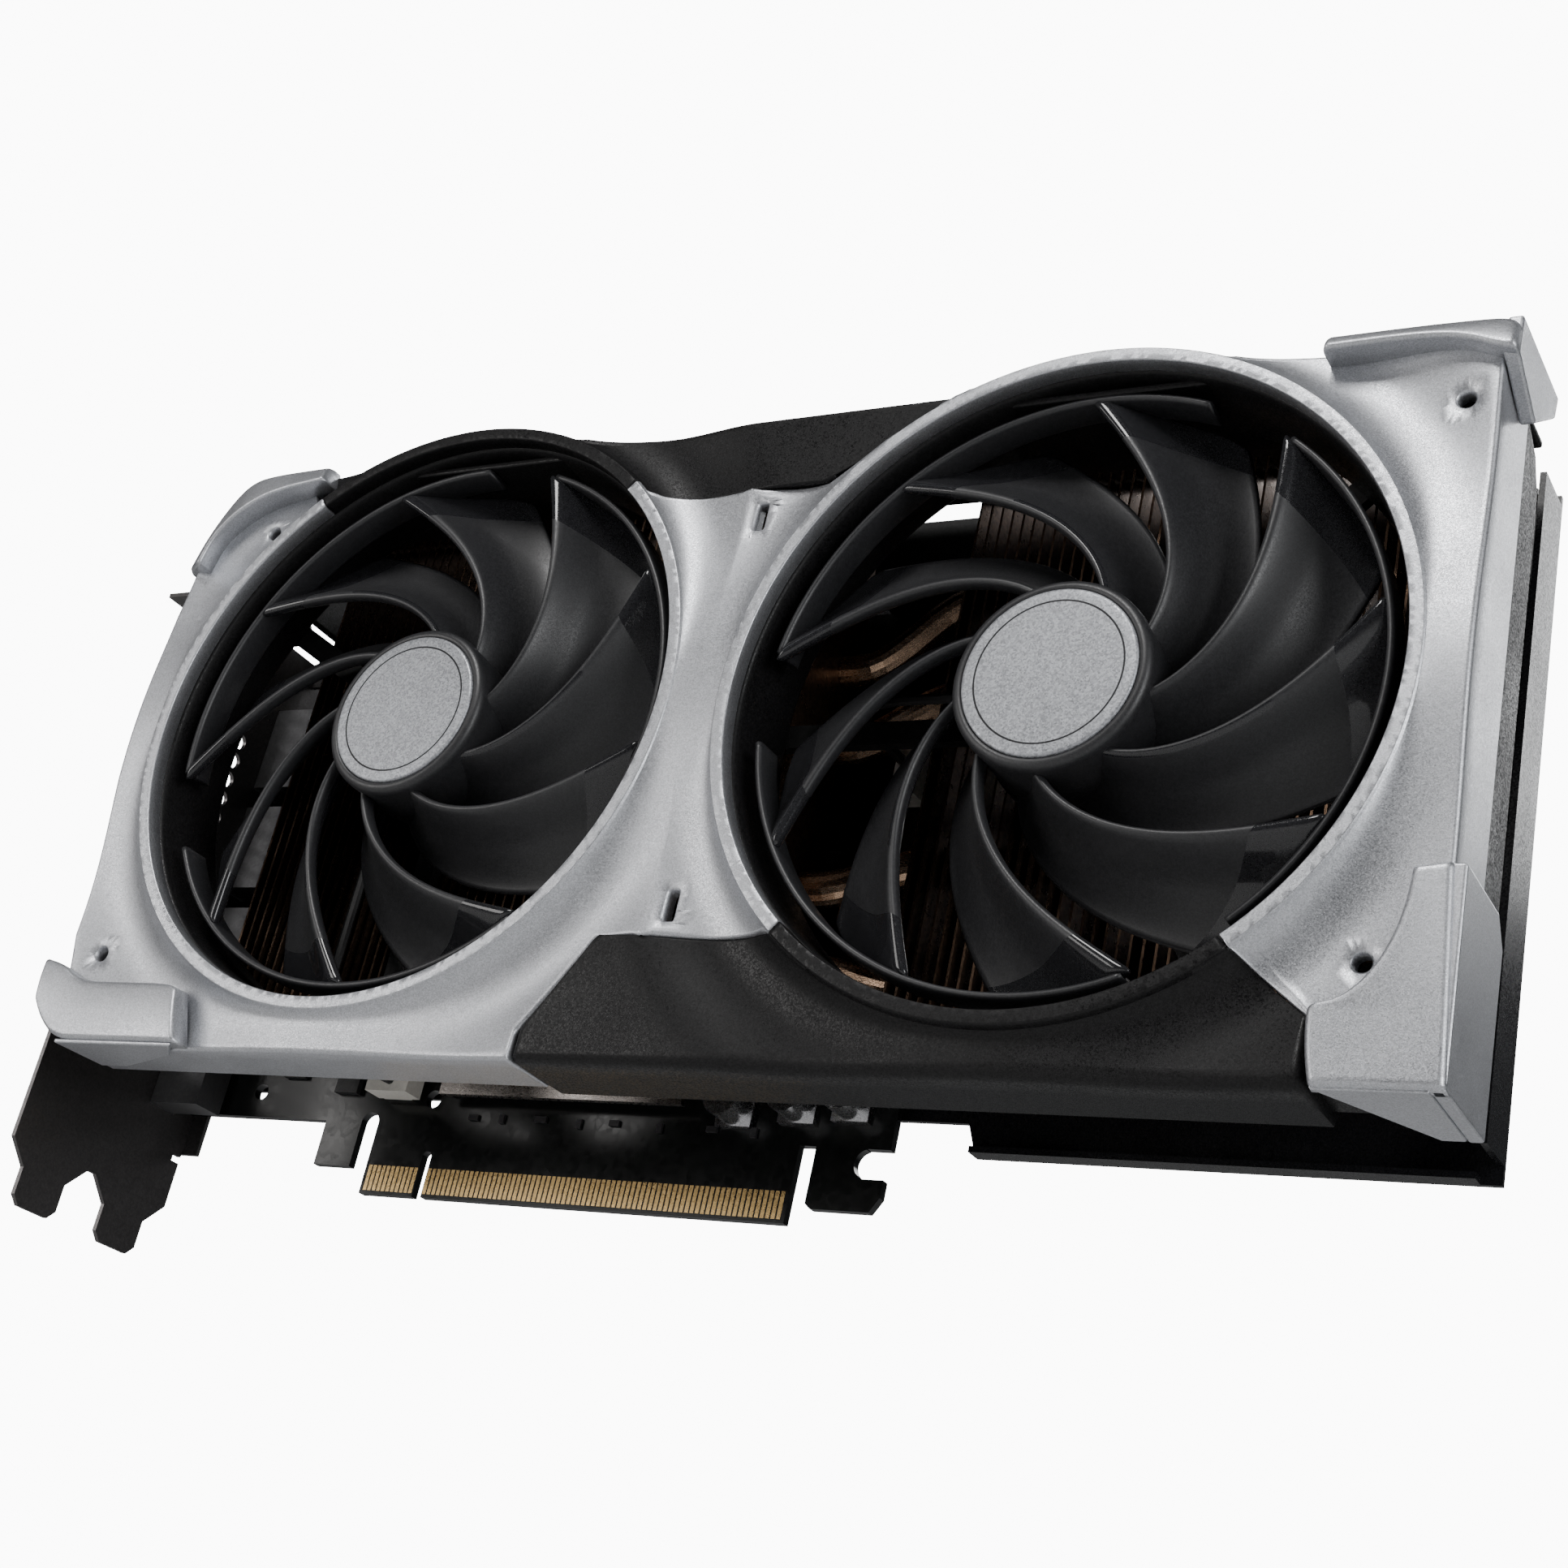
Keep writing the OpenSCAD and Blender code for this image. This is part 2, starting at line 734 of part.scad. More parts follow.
// Thin fins on the pipes, joined by folded tabs along their upper and lower edges.
module fin_stack(x0, x1, d1, pipe_z) {
    tab_h = 0.4;
    count = floor((x1 - x0) / fin_pitch);
    union() {
        for (i = [0:count])
            translate([x0 + i * fin_pitch, -shroud_depth, 0])
                rotate([90, 0, 90])
                    linear_extrude(fin_t)
                        difference() {
                            translate([fin_d0, fin_z0])
                                square([d1 - fin_d0, fin_z1 - fin_z0]);
                            for (z = pipe_z)
                                translate([pipe_d, z])
                                    circle(r = pipe_r + 0.05, $fn = 32);
                        }
        for (z = [fin_z0, fin_z1 - tab_h], d = [fin_d0 + 4, d1 - 6])
            block([x0, x0 + count * fin_pitch + fin_t], [d, d + 2.4], [z, z + tab_h]);
    }
}

module fin_stack_main() {
    color([0.12, 0.12, 0.125])
        fin_stack(main_x0, main_x1, fin_d1, pipe_main_z);
}

module fin_stack_tail() {
    color([0.12, 0.12, 0.125])
        fin_stack(tail_x0, tail_x1, 45, pipe_tail_z);
}

function lead_angle(r) = sweep_1 * (r - hub_r) - sweep_2 * pow(r - hub_r, 2);
function chord(r) = chord_root + (chord_tip - chord_root) * (r - hub_r) / (rotor_r - hub_r);

// A point of the blade at radius r, s from 0 at the leading edge to 1 at the trailing edge.
function blade_point(r, s, side) =
    let (a = lead_angle(r) - chord(r) * s,
         d = 4 + 10.2 * (1 - pow(1 - s, 1.5)),
         h = side * 0.75 * (0.35 + 2.6 * s * (1 - s)))
    [r * cos(a + h * 0.9), r * sin(a + h * 0.9), -(d + h)];

// A swept, pitched blade as one closed skin.
module blade() {
    rows = 10;
    cols = 6;
    r0 = hub_r - 0.7;
    r1 = rotor_r - 0.8;
    points = [for (side = [1, -1], i = [0:rows], j = [0:cols])
        blade_point(r0 + (r1 - r0) * i / rows, j / cols, side)];
    width = cols + 1;
    half = (rows + 1) * width;
    function at(k, i, j) = k * half + i * width + j;
    faces = concat(
        [for (i = [0:rows - 1], j = [0:cols - 1]) each [
            [at(0, i, j), at(0, i, j + 1), at(0, i + 1, j + 1)],
            [at(0, i, j), at(0, i + 1, j + 1), at(0, i + 1, j)],
            [at(1, i, j), at(1, i + 1, j + 1), at(1, i, j + 1)],
            [at(1, i, j), at(1, i + 1, j), at(1, i + 1, j + 1)]]],
        [for (i = [0:rows - 1]) each [
            [at(0, i, 0), at(0, i + 1, 0), at(1, i + 1, 0)],
            [at(0, i, 0), at(1, i + 1, 0), at(1, i, 0)],
            [at(0, i, cols), at(1, i + 1, cols), at(0, i + 1, cols)],
            [at(0, i, cols), at(1, i, cols), at(1, i + 1, cols)]]],
        [for (j = [0:cols - 1]) each [
            [at(0, 0, j), at(1, 0, j + 1), at(0, 0, j + 1)],
            [at(0, 0, j), at(1, 0, j), at(1, 0, j + 1)],
            [at(0, rows, j), at(0, rows, j + 1), at(1, rows, j + 1)],
            [at(0, rows, j), at(1, rows, j + 1), at(1, rows, j)]]]);
    polyhedron(points = points, faces = faces);
}

// Places fan parts drawn about the Z axis, with depth along -Z, at fan number i.
module at_fan(i) {
    translate([fan_x(i), -shroud_depth, fan_z])
        rotate([90, 0, 0])
            children();
}

// Cup-shaped hub with a shaft boss, nine blades in threes, and an arc that ties each three.
module rotor(i, phase) {
    color([0.04, 0.04, 0.045])
        at_fan(i)
            union() {
                rotate_extrude($fn = 96)
                    polygon([[shaft_r, -6.5], [4, -6.5], [4, -4], [14.2, -4], [14.2, -rotor_d1],
                        [hub_r, -rotor_d1], [hub_r, -3.4], [14.6, -2.2], [13.9, -2.2],
                        [13.9, -2.8], [shaft_r, -2.8]]);
                for (k = [0:blade_count - 1])
                    rotate([0, 0, phase - k * 360 / blade_count])
                        blade();
                for (k = [0:2])
                    rotate([0, 0, phase - k * 120 + lead_angle(rotor_r - 1) - arc_span])
                        rotate_extrude(angle = arc_span, $fn = 96)
                            translate([rotor_r - 1.2, -10])
                                square([1.2, 5.6]);
            }
}

module badge(i) {
    color([0.7, 0.71, 0.74])
        at_fan(i)
            translate([0, 0, -2.78])
                cylinder(r = 13.8, h = 1.03);
}

module magnet(i) {
    color([0.25, 0.25, 0.26])
        at_fan(i)
            translate([0, 0, -14])
                difference() {
                    cylinder(r = 14.15, h = 9.5);
                    translate([0, 0, -1])
                        cylinder(r = 12.5, h = 12);
                }
}

module shaft(i) {
    color([0.75, 0.75, 0.77])
        at_fan(i)
            translate([0, 0, -18.4])
                cylinder(r = shaft_r, h = 15.5);
}

module bearing(i) {
    color([0.7, 0.52, 0.3])
        at_fan(i)
            translate([0, 0, -18.4])
                difference() {
                    cylinder(r = 2.8, h = 11);
                    translate([0, 0, -1])
                        cylinder(r = shaft_r + shaft_gap, h = 13);
                }
}

// Laminated core with four wound arms.
module stator(i) {
    color([0.6, 0.36, 0.2])
        at_fan(i)
            translate([0, 0, -14.2])
                difference() {
                    union() {
                        cylinder(r = 6, h = 6);
                        for (a = [0:90:270])
                            rotate([0, 0, a])
                                translate([5, -2.4, 0.5])
                                    cube([5.4, 4.8, 5]);
                        for (a = [0:90:270])
                            rotate([0, 0, a + 45])
                                rotate([0, 0, -36 - 45])
                                    rotate_extrude(angle = 72)
                                        translate([10, 1.5])
                                            square([1.6, 3]);
                    }
                    translate([0, 0, -1])
                        cylinder(r = 4.05, h = 9);
                }
}

// Motor base with a bearing tube and three arms that screw to the shroud.
module fan_frame(i) {
    color([0.05, 0.05, 0.055])
        at_fan(i)
            difference() {
                union() {
                    translate([0, 0, -frame_d1])
                        cylinder(r = 16, h = 3.4);
                    translate([0, 0, -17])
                        cylinder(r = 4, h = 9);
                    for (a = arm_angles[i])
                        rotate([0, 0, a]) {
                            translate([14, -2, -frame_d1])
                                cube([arm_r - 14, 4, frame_d1 - duct_d1 - 0.05]);
                            translate([arm_r, 0, -frame_d1])
                                cylinder(r = 2.8, h = frame_d1 - duct_d1 - 0.05);
                        }
                }
                translate([0, 0, -18.4])
                    cylinder(r = 2.8, h = 20);
                for (a = arm_angles[i])
                    rotate([0, 0, a])
                        translate([arm_r, 0, -frame_d1 - 1])
                            cylinder(r = 1.2, h = 6);
            }
}

// A round bar swept along points that all lie in one plane with the given normal.
module round_bar(route, normal, r, sides) {
    last = len(route) - 1;
    function unit(v) = v / norm(v);
    function tangent(k) = unit(route[min(k + 1, last)] - route[max(k - 1, 0)]);
    points = [for (k = [0:last], s = [0:sides - 1])
        let (side = unit(cross(tangent(k), normal)), a = 360 * s / sides)
            route[k] + r * (cos(a) * normal + sin(a) * side)];
    faces = concat(
        [for (k = [0:last - 1], s = [0:sides - 1]) let (n = (s + 1) % sides)
            [k * sides + s, k * sides + n, (k + 1) * sides + n, (k + 1) * sides + s]],
        [[for (s = [sides - 1:-1:0]) s]],
        [[for (s = [0:sides - 1]) last * sides + s]]);
    polyhedron(points = points, faces = faces);
}

function smooth(p, steps) = [for (k = [0:len(p) - 2], t = [0:steps - 1])
    let (a = p[max(k - 1, 0)], b = p[k], c = p[k + 1], d = p[min(k + 2, len(p) - 1)], u = t / steps)
        0.5 * (2 * b + (c - a) * u + (2 * a - 5 * b + 4 * c - d) * u * u
            + (3 * b - a - 3 * c + d) * u * u * u)];

lead_r = 0.85;
header_z = 18.6;
header_x = 81;
left_lead_x = fan_x1 - 12;
right_lead_z = fan_z + 5;

module fan_left_lead() {
    route = [for (p = [[17.05, 60.2], [17.05, 40], [17.05, 26], [17.6, 18.9], [24, 17.6], [32, 18.2],
        [38.2, header_z]]) [left_lead_x, p[0] - shroud_depth, p[1]]];
    color([0.04, 0.04, 0.04])
        round_bar(concat(smooth(route, 4), [route[len(route) - 1]]), [1, 0, 0], lead_r, 8);
}

module fan_right_lead() {
    route = [for (p = [[105, 17.05], [97, 17.05], [88, 17.4], [82.4, 21], [81, 28],
        [header_x, 38.2]]) [p[0], p[1] - shroud_depth, right_lead_z]];
    color([0.04, 0.04, 0.04])
        round_bar(concat(smooth(route, 4), [route[len(route) - 1]]), [0, 0, 1], lead_r, 8);
}

module fan_headers() {
    color([0.85, 0.85, 0.82])
        union() {
            block([left_lead_x - 5, left_lead_x + 4], [38.2, 42.4], [header_z - 2, header_z + 2]);
            block([left_lead_x - 5, left_lead_x + 1], [42.3, board_front],
                [header_z - 1.6, header_z + 1.6]);
            block([header_x - 2, header_x + 2], [38.2, board_front],
                [right_lead_z - 5, right_lead_z + 5]);
        }
}

module fan_screws() {
    color([0.3, 0.3, 0.31])
        for (i = [0, 1], a = arm_angles[i])
            screw(fan_x(i) + arm_r * cos(a), fan_z + arm_r * sin(a), 2, frame_d1 + 1.45, 13.2, 1);
}

// Vent slots over the tail fins.
module backplate_vents() {
    slot_r = 2.2;
    slot_len = 16;
    for (i = [0:8], j = [0:3])
        translate([101 + i * 7.6, 28 + j * 23]) {
            circle(r = slot_r, $fn = 24);
            translate([0, slot_len])
                circle(r = slot_r, $fn = 24);
            translate([-slot_r, 0])
                square([2 * slot_r, slot_len]);
        }
}

module backplate() {
    color([0.05, 0.05, 0.055])
        difference() {
            union() {
                slab(plate_d0, plate_d0 + plate_t)
                    difference() {
                        polygon([[-56.3, 18.5], [99.5, 18.5], [101.5, 13.2], [181, 13.2],
                            [181, 123.6], [93, 123.6], [90, 118.4], [-56.3, 118.4]]);
                        backplate_vents();
                        for (p = backplate_points)
                            translate(p)
                                circle(r = 1.4);
                        for (p = post_points)
                            translate(p)
                                circle(r = 1.4);
                        for (sx = [-1, 1], sz = [-1, 1])
                            translate([gpu_x + sx * retention_r[0], gpu_z + sz * retention_r[1]])
                                circle(r = 3.4);
                    }
                block([181 - plate_t, 181], [38, plate_d0 + 0.5], [16, 122]);
                block([101.5, 178], [plate_d0 - 2.6, plate_d0 + 0.5], [13.2, 13.2 + plate_t]);
                block([94, 178], [plate_d0 - 2.6, plate_d0 + 0.5], [123.6 - plate_t, 123.6]);
            }
        }
}

module backplate_screws() {
    color([0.25, 0.25, 0.26])
        union() {
            for (p = backplate_points)
                screw(p[0], p[1], 2.2, plate_d0 + plate_t + 1.45, board_front - 1.8, 1.1);
            for (p = post_points)
                screw(p[0], p[1], 2.2, plate_d0 + plate_t + 1.45, plate_d0 - 8, 1.1);
        }
}

module backplate_spacers() {
    color([0.75, 0.6, 0.3])
        for (p = backplate_points) {
            difference() {
                peg(p[0], p[1], 2.5, board_back + 0.02, plate_d0 - 0.02);
                peg(p[0], p[1], 1.25, board_back - 1, plate_d0 + 1);
            }
            difference() {
                peg(p[0], p[1], 2.4, board_front - 2, board_front - 0.02);
                peg(p[0], p[1], 1.15, board_front - 3, board_front + 1);
            }
        }
}

// Sprung cross that pulls the base plate onto the processor.
module retention_bracket() {
    color([0.35, 0.35, 0.36])
        slab(board_back + 0.1, board_back + 1)
            difference() {
                union() {
                    for (s = [-1, 1])
                        translate([gpu_x, gpu_z])
                            rotate(45 * s)
                                square([72, 8], center = true);
                    translate([gpu_x - 12, gpu_z - 12])
                        square(24);
                }
                translate([gpu_x - 7, gpu_z - 7])
                    square(14);
                for (sx = [-1, 1], sz = [-1, 1])
                    translate([gpu_x + sx * retention_r[0], gpu_z + sz * retention_r[1]])
                        circle(r = 1.3);
            }
}

module retention_screws() {
    color([0.6, 0.6, 0.62])
        for (sx = [-1, 1], sz = [-1, 1])
            screw(gpu_x + sx * retention_r[0], gpu_z + sz * retention_r[1], 2.4,
                board_back + 1.05 + 1.4, fin_d1 + 1.4, 1.15);
}

shroud_base();
shroud_cover();
corner_cap_top_left();
corner_cap_top_right();
corner_cap_bottom_left();
corner_cap_bottom_right();
shroud_screws();
circuit_board();
edge_contacts();
slot_bracket();
bracket_screws();
hdmi_socket();
displayport_sockets();
socket_tongues();
power_socket();
power_pins();
gpu_package();
gpu_die();
memory_chips();
power_stages();
inductors();
capacitors();
control_chips();
thermal_pads();
cold_plate();
vrm_plate();
heat_pipes();
fin_stack_main();
fin_stack_tail();
rotor(0, left_phase);  // fan_left_rotor
badge(0);  // fan_left_badge
magnet(0);  // fan_left_magnet
shaft(0);  // fan_left_shaft
bearing(0);  // fan_left_bearing
stator(0);  // fan_left_stator
fan_frame(0);  // fan_left_frame
fan_left_lead();
rotor(1, right_phase);  // fan_right_rotor
badge(1);  // fan_right_badge
magnet(1);  // fan_right_magnet
shaft(1);  // fan_right_shaft
bearing(1);  // fan_right_bearing
stator(1);  // fan_right_stator
fan_frame(1);  // fan_right_frame
fan_right_lead();
fan_headers();
fan_screws();
backplate();
backplate_screws();
backplate_spacers();
retention_bracket();
retention_screws();
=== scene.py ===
"""Dual-fan graphics card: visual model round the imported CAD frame."""

import json
import math

import bmesh
import bpy
import numpy as np
from mathutils import Matrix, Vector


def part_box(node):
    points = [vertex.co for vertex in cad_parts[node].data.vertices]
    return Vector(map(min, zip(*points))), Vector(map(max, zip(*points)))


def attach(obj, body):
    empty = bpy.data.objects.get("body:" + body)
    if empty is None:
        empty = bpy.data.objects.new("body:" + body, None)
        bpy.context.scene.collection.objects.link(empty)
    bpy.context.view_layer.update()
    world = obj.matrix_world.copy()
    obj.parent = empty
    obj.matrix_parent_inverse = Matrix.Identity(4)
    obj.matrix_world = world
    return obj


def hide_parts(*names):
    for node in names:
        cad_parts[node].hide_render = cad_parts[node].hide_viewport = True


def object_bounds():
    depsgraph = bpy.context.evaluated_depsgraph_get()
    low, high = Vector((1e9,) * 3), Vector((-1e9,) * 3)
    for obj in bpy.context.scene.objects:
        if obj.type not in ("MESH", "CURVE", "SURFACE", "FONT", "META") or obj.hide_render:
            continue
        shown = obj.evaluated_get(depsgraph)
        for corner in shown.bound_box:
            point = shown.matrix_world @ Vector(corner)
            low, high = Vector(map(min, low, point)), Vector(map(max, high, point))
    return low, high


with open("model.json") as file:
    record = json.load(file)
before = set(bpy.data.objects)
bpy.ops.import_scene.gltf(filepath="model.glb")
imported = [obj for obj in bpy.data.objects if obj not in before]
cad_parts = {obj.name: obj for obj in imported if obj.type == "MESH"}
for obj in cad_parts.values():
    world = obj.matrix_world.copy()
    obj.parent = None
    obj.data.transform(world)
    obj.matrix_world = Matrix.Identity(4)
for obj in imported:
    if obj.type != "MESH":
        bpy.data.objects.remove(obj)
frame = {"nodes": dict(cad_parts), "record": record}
cad_low, cad_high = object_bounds()


# ---------------------------------------------------------------- Studio
# A pale floor far below the card and four square soft lights: a key above the
# front, a rim light past the free end, one behind and a weak fill. The air is dim
# to the card and bright to the camera, which stands low by the free end.
def studio_material(name, colour, mottle):
    """Flat pale paint with a slow noise that shifts its lightness by mottle."""
    material = bpy.data.materials.new(name)
    material.use_nodes = True
    tree = material.node_tree
    place = tree.nodes.new("ShaderNodeTexCoord")
    noise = tree.nodes.new("ShaderNodeTexNoise")
    noise.inputs["Scale"].default_value = 3.0
    ramp = tree.nodes.new("ShaderNodeMapRange")
    ramp.inputs["To Min"].default_value = colour - mottle
    ramp.inputs["To Max"].default_value = colour + mottle
    tree.links.new(place.outputs["Object"], noise.inputs["Vector"])
    tree.links.new(noise.outputs["Fac"], ramp.inputs["Value"])
    shader = tree.nodes["Principled BSDF"]
    tree.links.new(ramp.outputs["Result"], shader.inputs["Base Color"])
    shader.inputs["Roughness"].default_value = 0.9
    return material


card_middle = (cad_low + cad_high) / 2
floor_drop = 0.35
floor_half = 6.0
floor_mesh = bpy.data.meshes.new("studio_floor")
floor_mesh.from_pydata(
    [
        (sx * floor_half, sy * floor_half, cad_low.z - floor_drop)
        for sx, sy in ((-1, -1), (1, -1), (1, 1), (-1, 1))
    ],
    [],
    [(0, 1, 2, 3)],
)
floor = bpy.data.objects.new("studio_floor", floor_mesh)
bpy.context.scene.collection.objects.link(floor)
floor_mesh.materials.append(studio_material("studio_paint", 0.72, 0.01))


def softbox(name, offset, size, power, tint):
    """A square area light at offset metres from the card's middle, turned to face it."""
    light = bpy.data.lights.new(name, "AREA")
    light.size = size
    light.energy = power
    light.color = tint
    lamp = bpy.data.objects.new(name, light)
    bpy.context.scene.collection.objects.link(lamp)
    toward = -np.array(offset) / np.linalg.norm(offset)
    side = np.cross(toward, (0, 0, 1))
    side /= np.linalg.norm(side)
    up = np.cross(side, toward)
    lamp.matrix_world = Matrix(
        [
            (side[i], up[i], -toward[i], card_middle[i] + offset[i])
            for i in range(3)
        ]
        + [(0, 0, 0, 1)]
    )
    return lamp


softbox("key", (-0.12, -0.95, 0.95), 0.45, 12.5, (1.0, 0.99, 0.98))
softbox("rim", (1.1, -0.5, 0.2), 0.6, 9, (0.98, 0.99, 1.0))
softbox("back", (0.1, 1.1, 0.9), 0.8, 10, (0.98, 0.99, 1.0))
softbox("fill", (-0.75, -0.8, 0.1), 0.5, 4, (1.0, 0.98, 0.96))

world = bpy.data.worlds.new("studio_air")
bpy.context.scene.world = world
world.use_nodes = True
air = world.node_tree
air_shader = air.nodes["Background"]
air_mix = air.nodes.new("ShaderNodeMix")
air_mix.data_type = "RGBA"
seen = air.nodes.new("ShaderNodeLightPath")
air.links.new(seen.outputs["Is Camera Ray"], air_mix.inputs["Factor"])
air_mix.inputs["A"].default_value = (0.05, 0.051, 0.053, 1)
air_mix.inputs["B"].default_value = (11.0, 11.0, 11.0, 1)
air.links.new(air_mix.outputs["Result"], air_shader.inputs["Color"])
air_shader.inputs["Strength"].default_value = 1.0

camera_data = bpy.data.cameras.new("camera")
camera_data.sensor_width = 36.0
camera_data.lens = 56.15
camera_data.shift_x = -0.0063
camera_data.shift_y = -0.0356
camera_data.clip_start = 0.02
camera = bpy.data.objects.new("camera", camera_data)
bpy.context.scene.collection.objects.link(camera)
camera.location = (0.26884, -0.32043, -0.08931)
camera.rotation_euler = [math.radians(turn) for turn in (115.188, -11.750, 28.449)]
bpy.context.scene.camera = camera


# ---------------------------------------------------------------- Silver front cover
# The X-shaped moulding that shows first: glass-filled plastic with fine metallic
# paint, a raised lip round each fan and a shallow valley outside the lip.
MM = 0.001
front_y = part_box("shroud_cover")[0].y
shroud_low = 10.0
shroud_top = 122.4
end_x = 184.0
badge_low, badge_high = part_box("fan_left_badge")
left_x = (badge_low.x + badge_high.x) / 2 / MM
fan_z = (badge_low.z + badge_high.z) / 2 / MM
badge_low, badge_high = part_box("fan_right_badge")
right_x = (badge_low.x + badge_high.x) / 2 / MM
middle_x = (left_x + right_x) / 2
ring_r = 52.5
lip_end_r = ring_r + 2.3


def place(points):
    """Millimetres along the card, behind the ring fronts and above the contact edge,
    turned into metres in the frame of the CAD."""
    points = np.asarray(points, float)
    out = points * MM
    out[..., 1] += front_y
    return out


def mesh_piece(name, points, faces, material, smooth=True):
    """An object made from points in millimetres and a list of faces."""
    mesh = bpy.data.meshes.new(name)
    mesh.from_pydata(place(points).tolist(), [], [list(map(int, f)) for f in faces])
    mesh.validate()
    mesh.polygons.foreach_set("use_smooth", np.full(len(mesh.polygons), smooth))
    piece = bpy.data.objects.new(name, mesh)
    bpy.context.scene.collection.objects.link(piece)
    mesh.materials.append(material)
    return piece


def grid_quads(rows, cols, first=0, wrap_rows=False, wrap_cols=False, flip=False):
    """Quads between neighbouring points of a rows by cols grid, numbered row by row."""
    i, j = np.meshgrid(
        np.arange(rows if wrap_rows else rows - 1),
        np.arange(cols if wrap_cols else cols - 1),
        indexing="ij",
    )
    i2, j2 = (i + 1) % rows, (j + 1) % cols
    quads = np.stack(
        [i * cols + j, i * cols + j2, i2 * cols + j2, i2 * cols + j], -1
    ).reshape(-1, 4)
    if flip:
        quads = quads[:, ::-1]
    return quads + first


def weld(piece, gap=0.02, closed=True):
    """Merges doubled points closer than gap millimetres, and turns the faces of a
    closed form outwards."""
    form = bmesh.new()
    form.from_mesh(piece.data)
    bmesh.ops.remove_doubles(form, verts=form.verts, dist=gap * MM)
    bmesh.ops.dissolve_degenerate(form, edges=form.edges, dist=0.002 * MM)
    if closed:
        bmesh.ops.recalc_face_normals(form, faces=form.faces)
    form.to_mesh(piece.data)
    form.free()
    return piece


def smooth_step(t):
    """0 below 0, 1 above 1, and 3t^2 - 2t^3 between."""
    t = np.clip(t, 0, 1)
    return t * t * (3 - 2 * t)


def ray_reach(centre, angles, outline):
    """How far a ray from centre at each angle runs to the nearest side of the outline:
    the ray c + r d meets the side p + s e where r = (p - c) x e / d x e."""
    p = np.array(outline, float)
    e = np.roll(p, -1, 0) - p
    d = np.stack([np.cos(angles), np.sin(angles)], -1)
    w = p - centre
    cross = d[:, None, 0] * e[None, :, 1] - d[:, None, 1] * e[None, :, 0]
    cross = np.where(np.abs(cross) < 1e-9, 1e-9, cross)
    r = (w[:, 0] * e[:, 1] - w[:, 1] * e[:, 0])[None] / cross
    s = (w[None, :, 0] * d[:, None, 1] - w[None, :, 1] * d[:, None, 0]) / cross
    r = np.where((r > 0) & (s > -1e-6) & (s < 1 + 1e-6), r, np.inf)
    return r.min(1)


face_flush = 0.35
face_fall, fall_height = 1.35, 46
valley_drop, valley_flat, valley_fade = 2.3, 6, 15
foot_width, diagonal_foot = 0.7, 2.4


def face_depth(r, angles):
    """Depth of the front outside a fan's lip: flush, plus a fall that grows with the
    height above or below the axis, plus a valley that is deepest on the diagonals
    (sin^2 of twice the angle) and fades further out. Both come in from the foot of
    the lip as 1 - e^(-distance / width), and the foot is wider on the diagonals."""
    diagonal = np.abs(np.sin(2 * angles)) ** 2
    height = np.abs(r * np.sin(angles))
    plain = face_flush + face_fall * smooth_step(height / fall_height)
    out = np.maximum(r - lip_end_r, 0)
    valley = valley_drop * diagonal * (1 - smooth_step((out - valley_flat) / valley_fade))
    foot = 1 - np.exp(-out / (foot_width + diagonal_foot * diagonal))
    return face_flush + (plain - face_flush + valley) * foot


def ray_angles(start, stop, corners, step=0.75, clearance=0.12):
    """Angles in radians from start to stop, given in degrees: each corner, and every
    multiple of step that is clear of the corners and of both ends."""
    first, last = math.ceil(start / step), math.floor(stop / step)
    plain = [k * step for k in range(first, last + 1)]
    exact = [a for a in corners if start < a < stop]
    fixed = exact + [start, stop]
    kept = [a for a in plain if all(abs(a - c) > clearance for c in fixed)]
    return np.radians(sorted(kept + fixed))


lip_rows = [
    (ring_r, 3.0),
    (ring_r, 0.3),
    (ring_r + 0.06, 0.1),
    (ring_r + 0.2, 0.0),
    (ring_r + 0.22, 0.0),
    (ring_r + 1.1, 0.0),
    (ring_r + 2.0, 0.0),
    (ring_r + 2.02, 0.0),
    (ring_r + 2.18, 0.1),
    (lip_end_r, face_flush),
]
face_rows = 26


def ring_sheet(centre_x, angles, reach, wall_depth, fold, lips=True, inner=None):
    """Front surface round one fan as a grid over distance from its centre and angle:
    the lip, the face out to reach, an edge rounded by fold, and a wall to wall_depth.
    The face's rows crowd towards the lip as t^1.25. Where fold is 0 the sheet ends
    flat, to meet its neighbour."""
    inner = np.full_like(angles, lip_end_r) if inner is None else inner
    reach = np.maximum(reach, inner + 0.2)
    flat_end = np.maximum(reach - fold, inner + 0.05)
    rows = []
    if lips:
        for r, depth in lip_rows[:-1]:
            rows.append((np.full_like(angles, r), np.full_like(angles, depth)))
    for t in np.linspace(0, 1, face_rows):
        r = inner + (flat_end - inner) * t**1.25
        rows.append((r, face_depth(r, angles)))
    far_depth = rows[-1][1]
    for turn in np.radians(np.linspace(0, 90, 6)[1:]):
        rows.append((
            flat_end + (reach - flat_end) * math.sin(turn),
            far_depth + fold * (1 - math.cos(turn)),
        ))
    edged = fold > 0
    wall = np.maximum(wall_depth, far_depth + fold + 0.2)
    rows.append((reach, np.where(edged, wall, far_depth)))
    r = np.stack([row[0] for row in rows])
    depth = np.stack([row[1] for row in rows])
    return np.stack(
        [centre_x + r * np.cos(angles), depth, fan_z + r * np.sin(angles)], -1
    )


def angle_to(centre_x, point):
    """Direction in degrees from a fan's centre to a point."""
    return math.degrees(math.atan2(point[1] - fan_z, point[0] - centre_x))


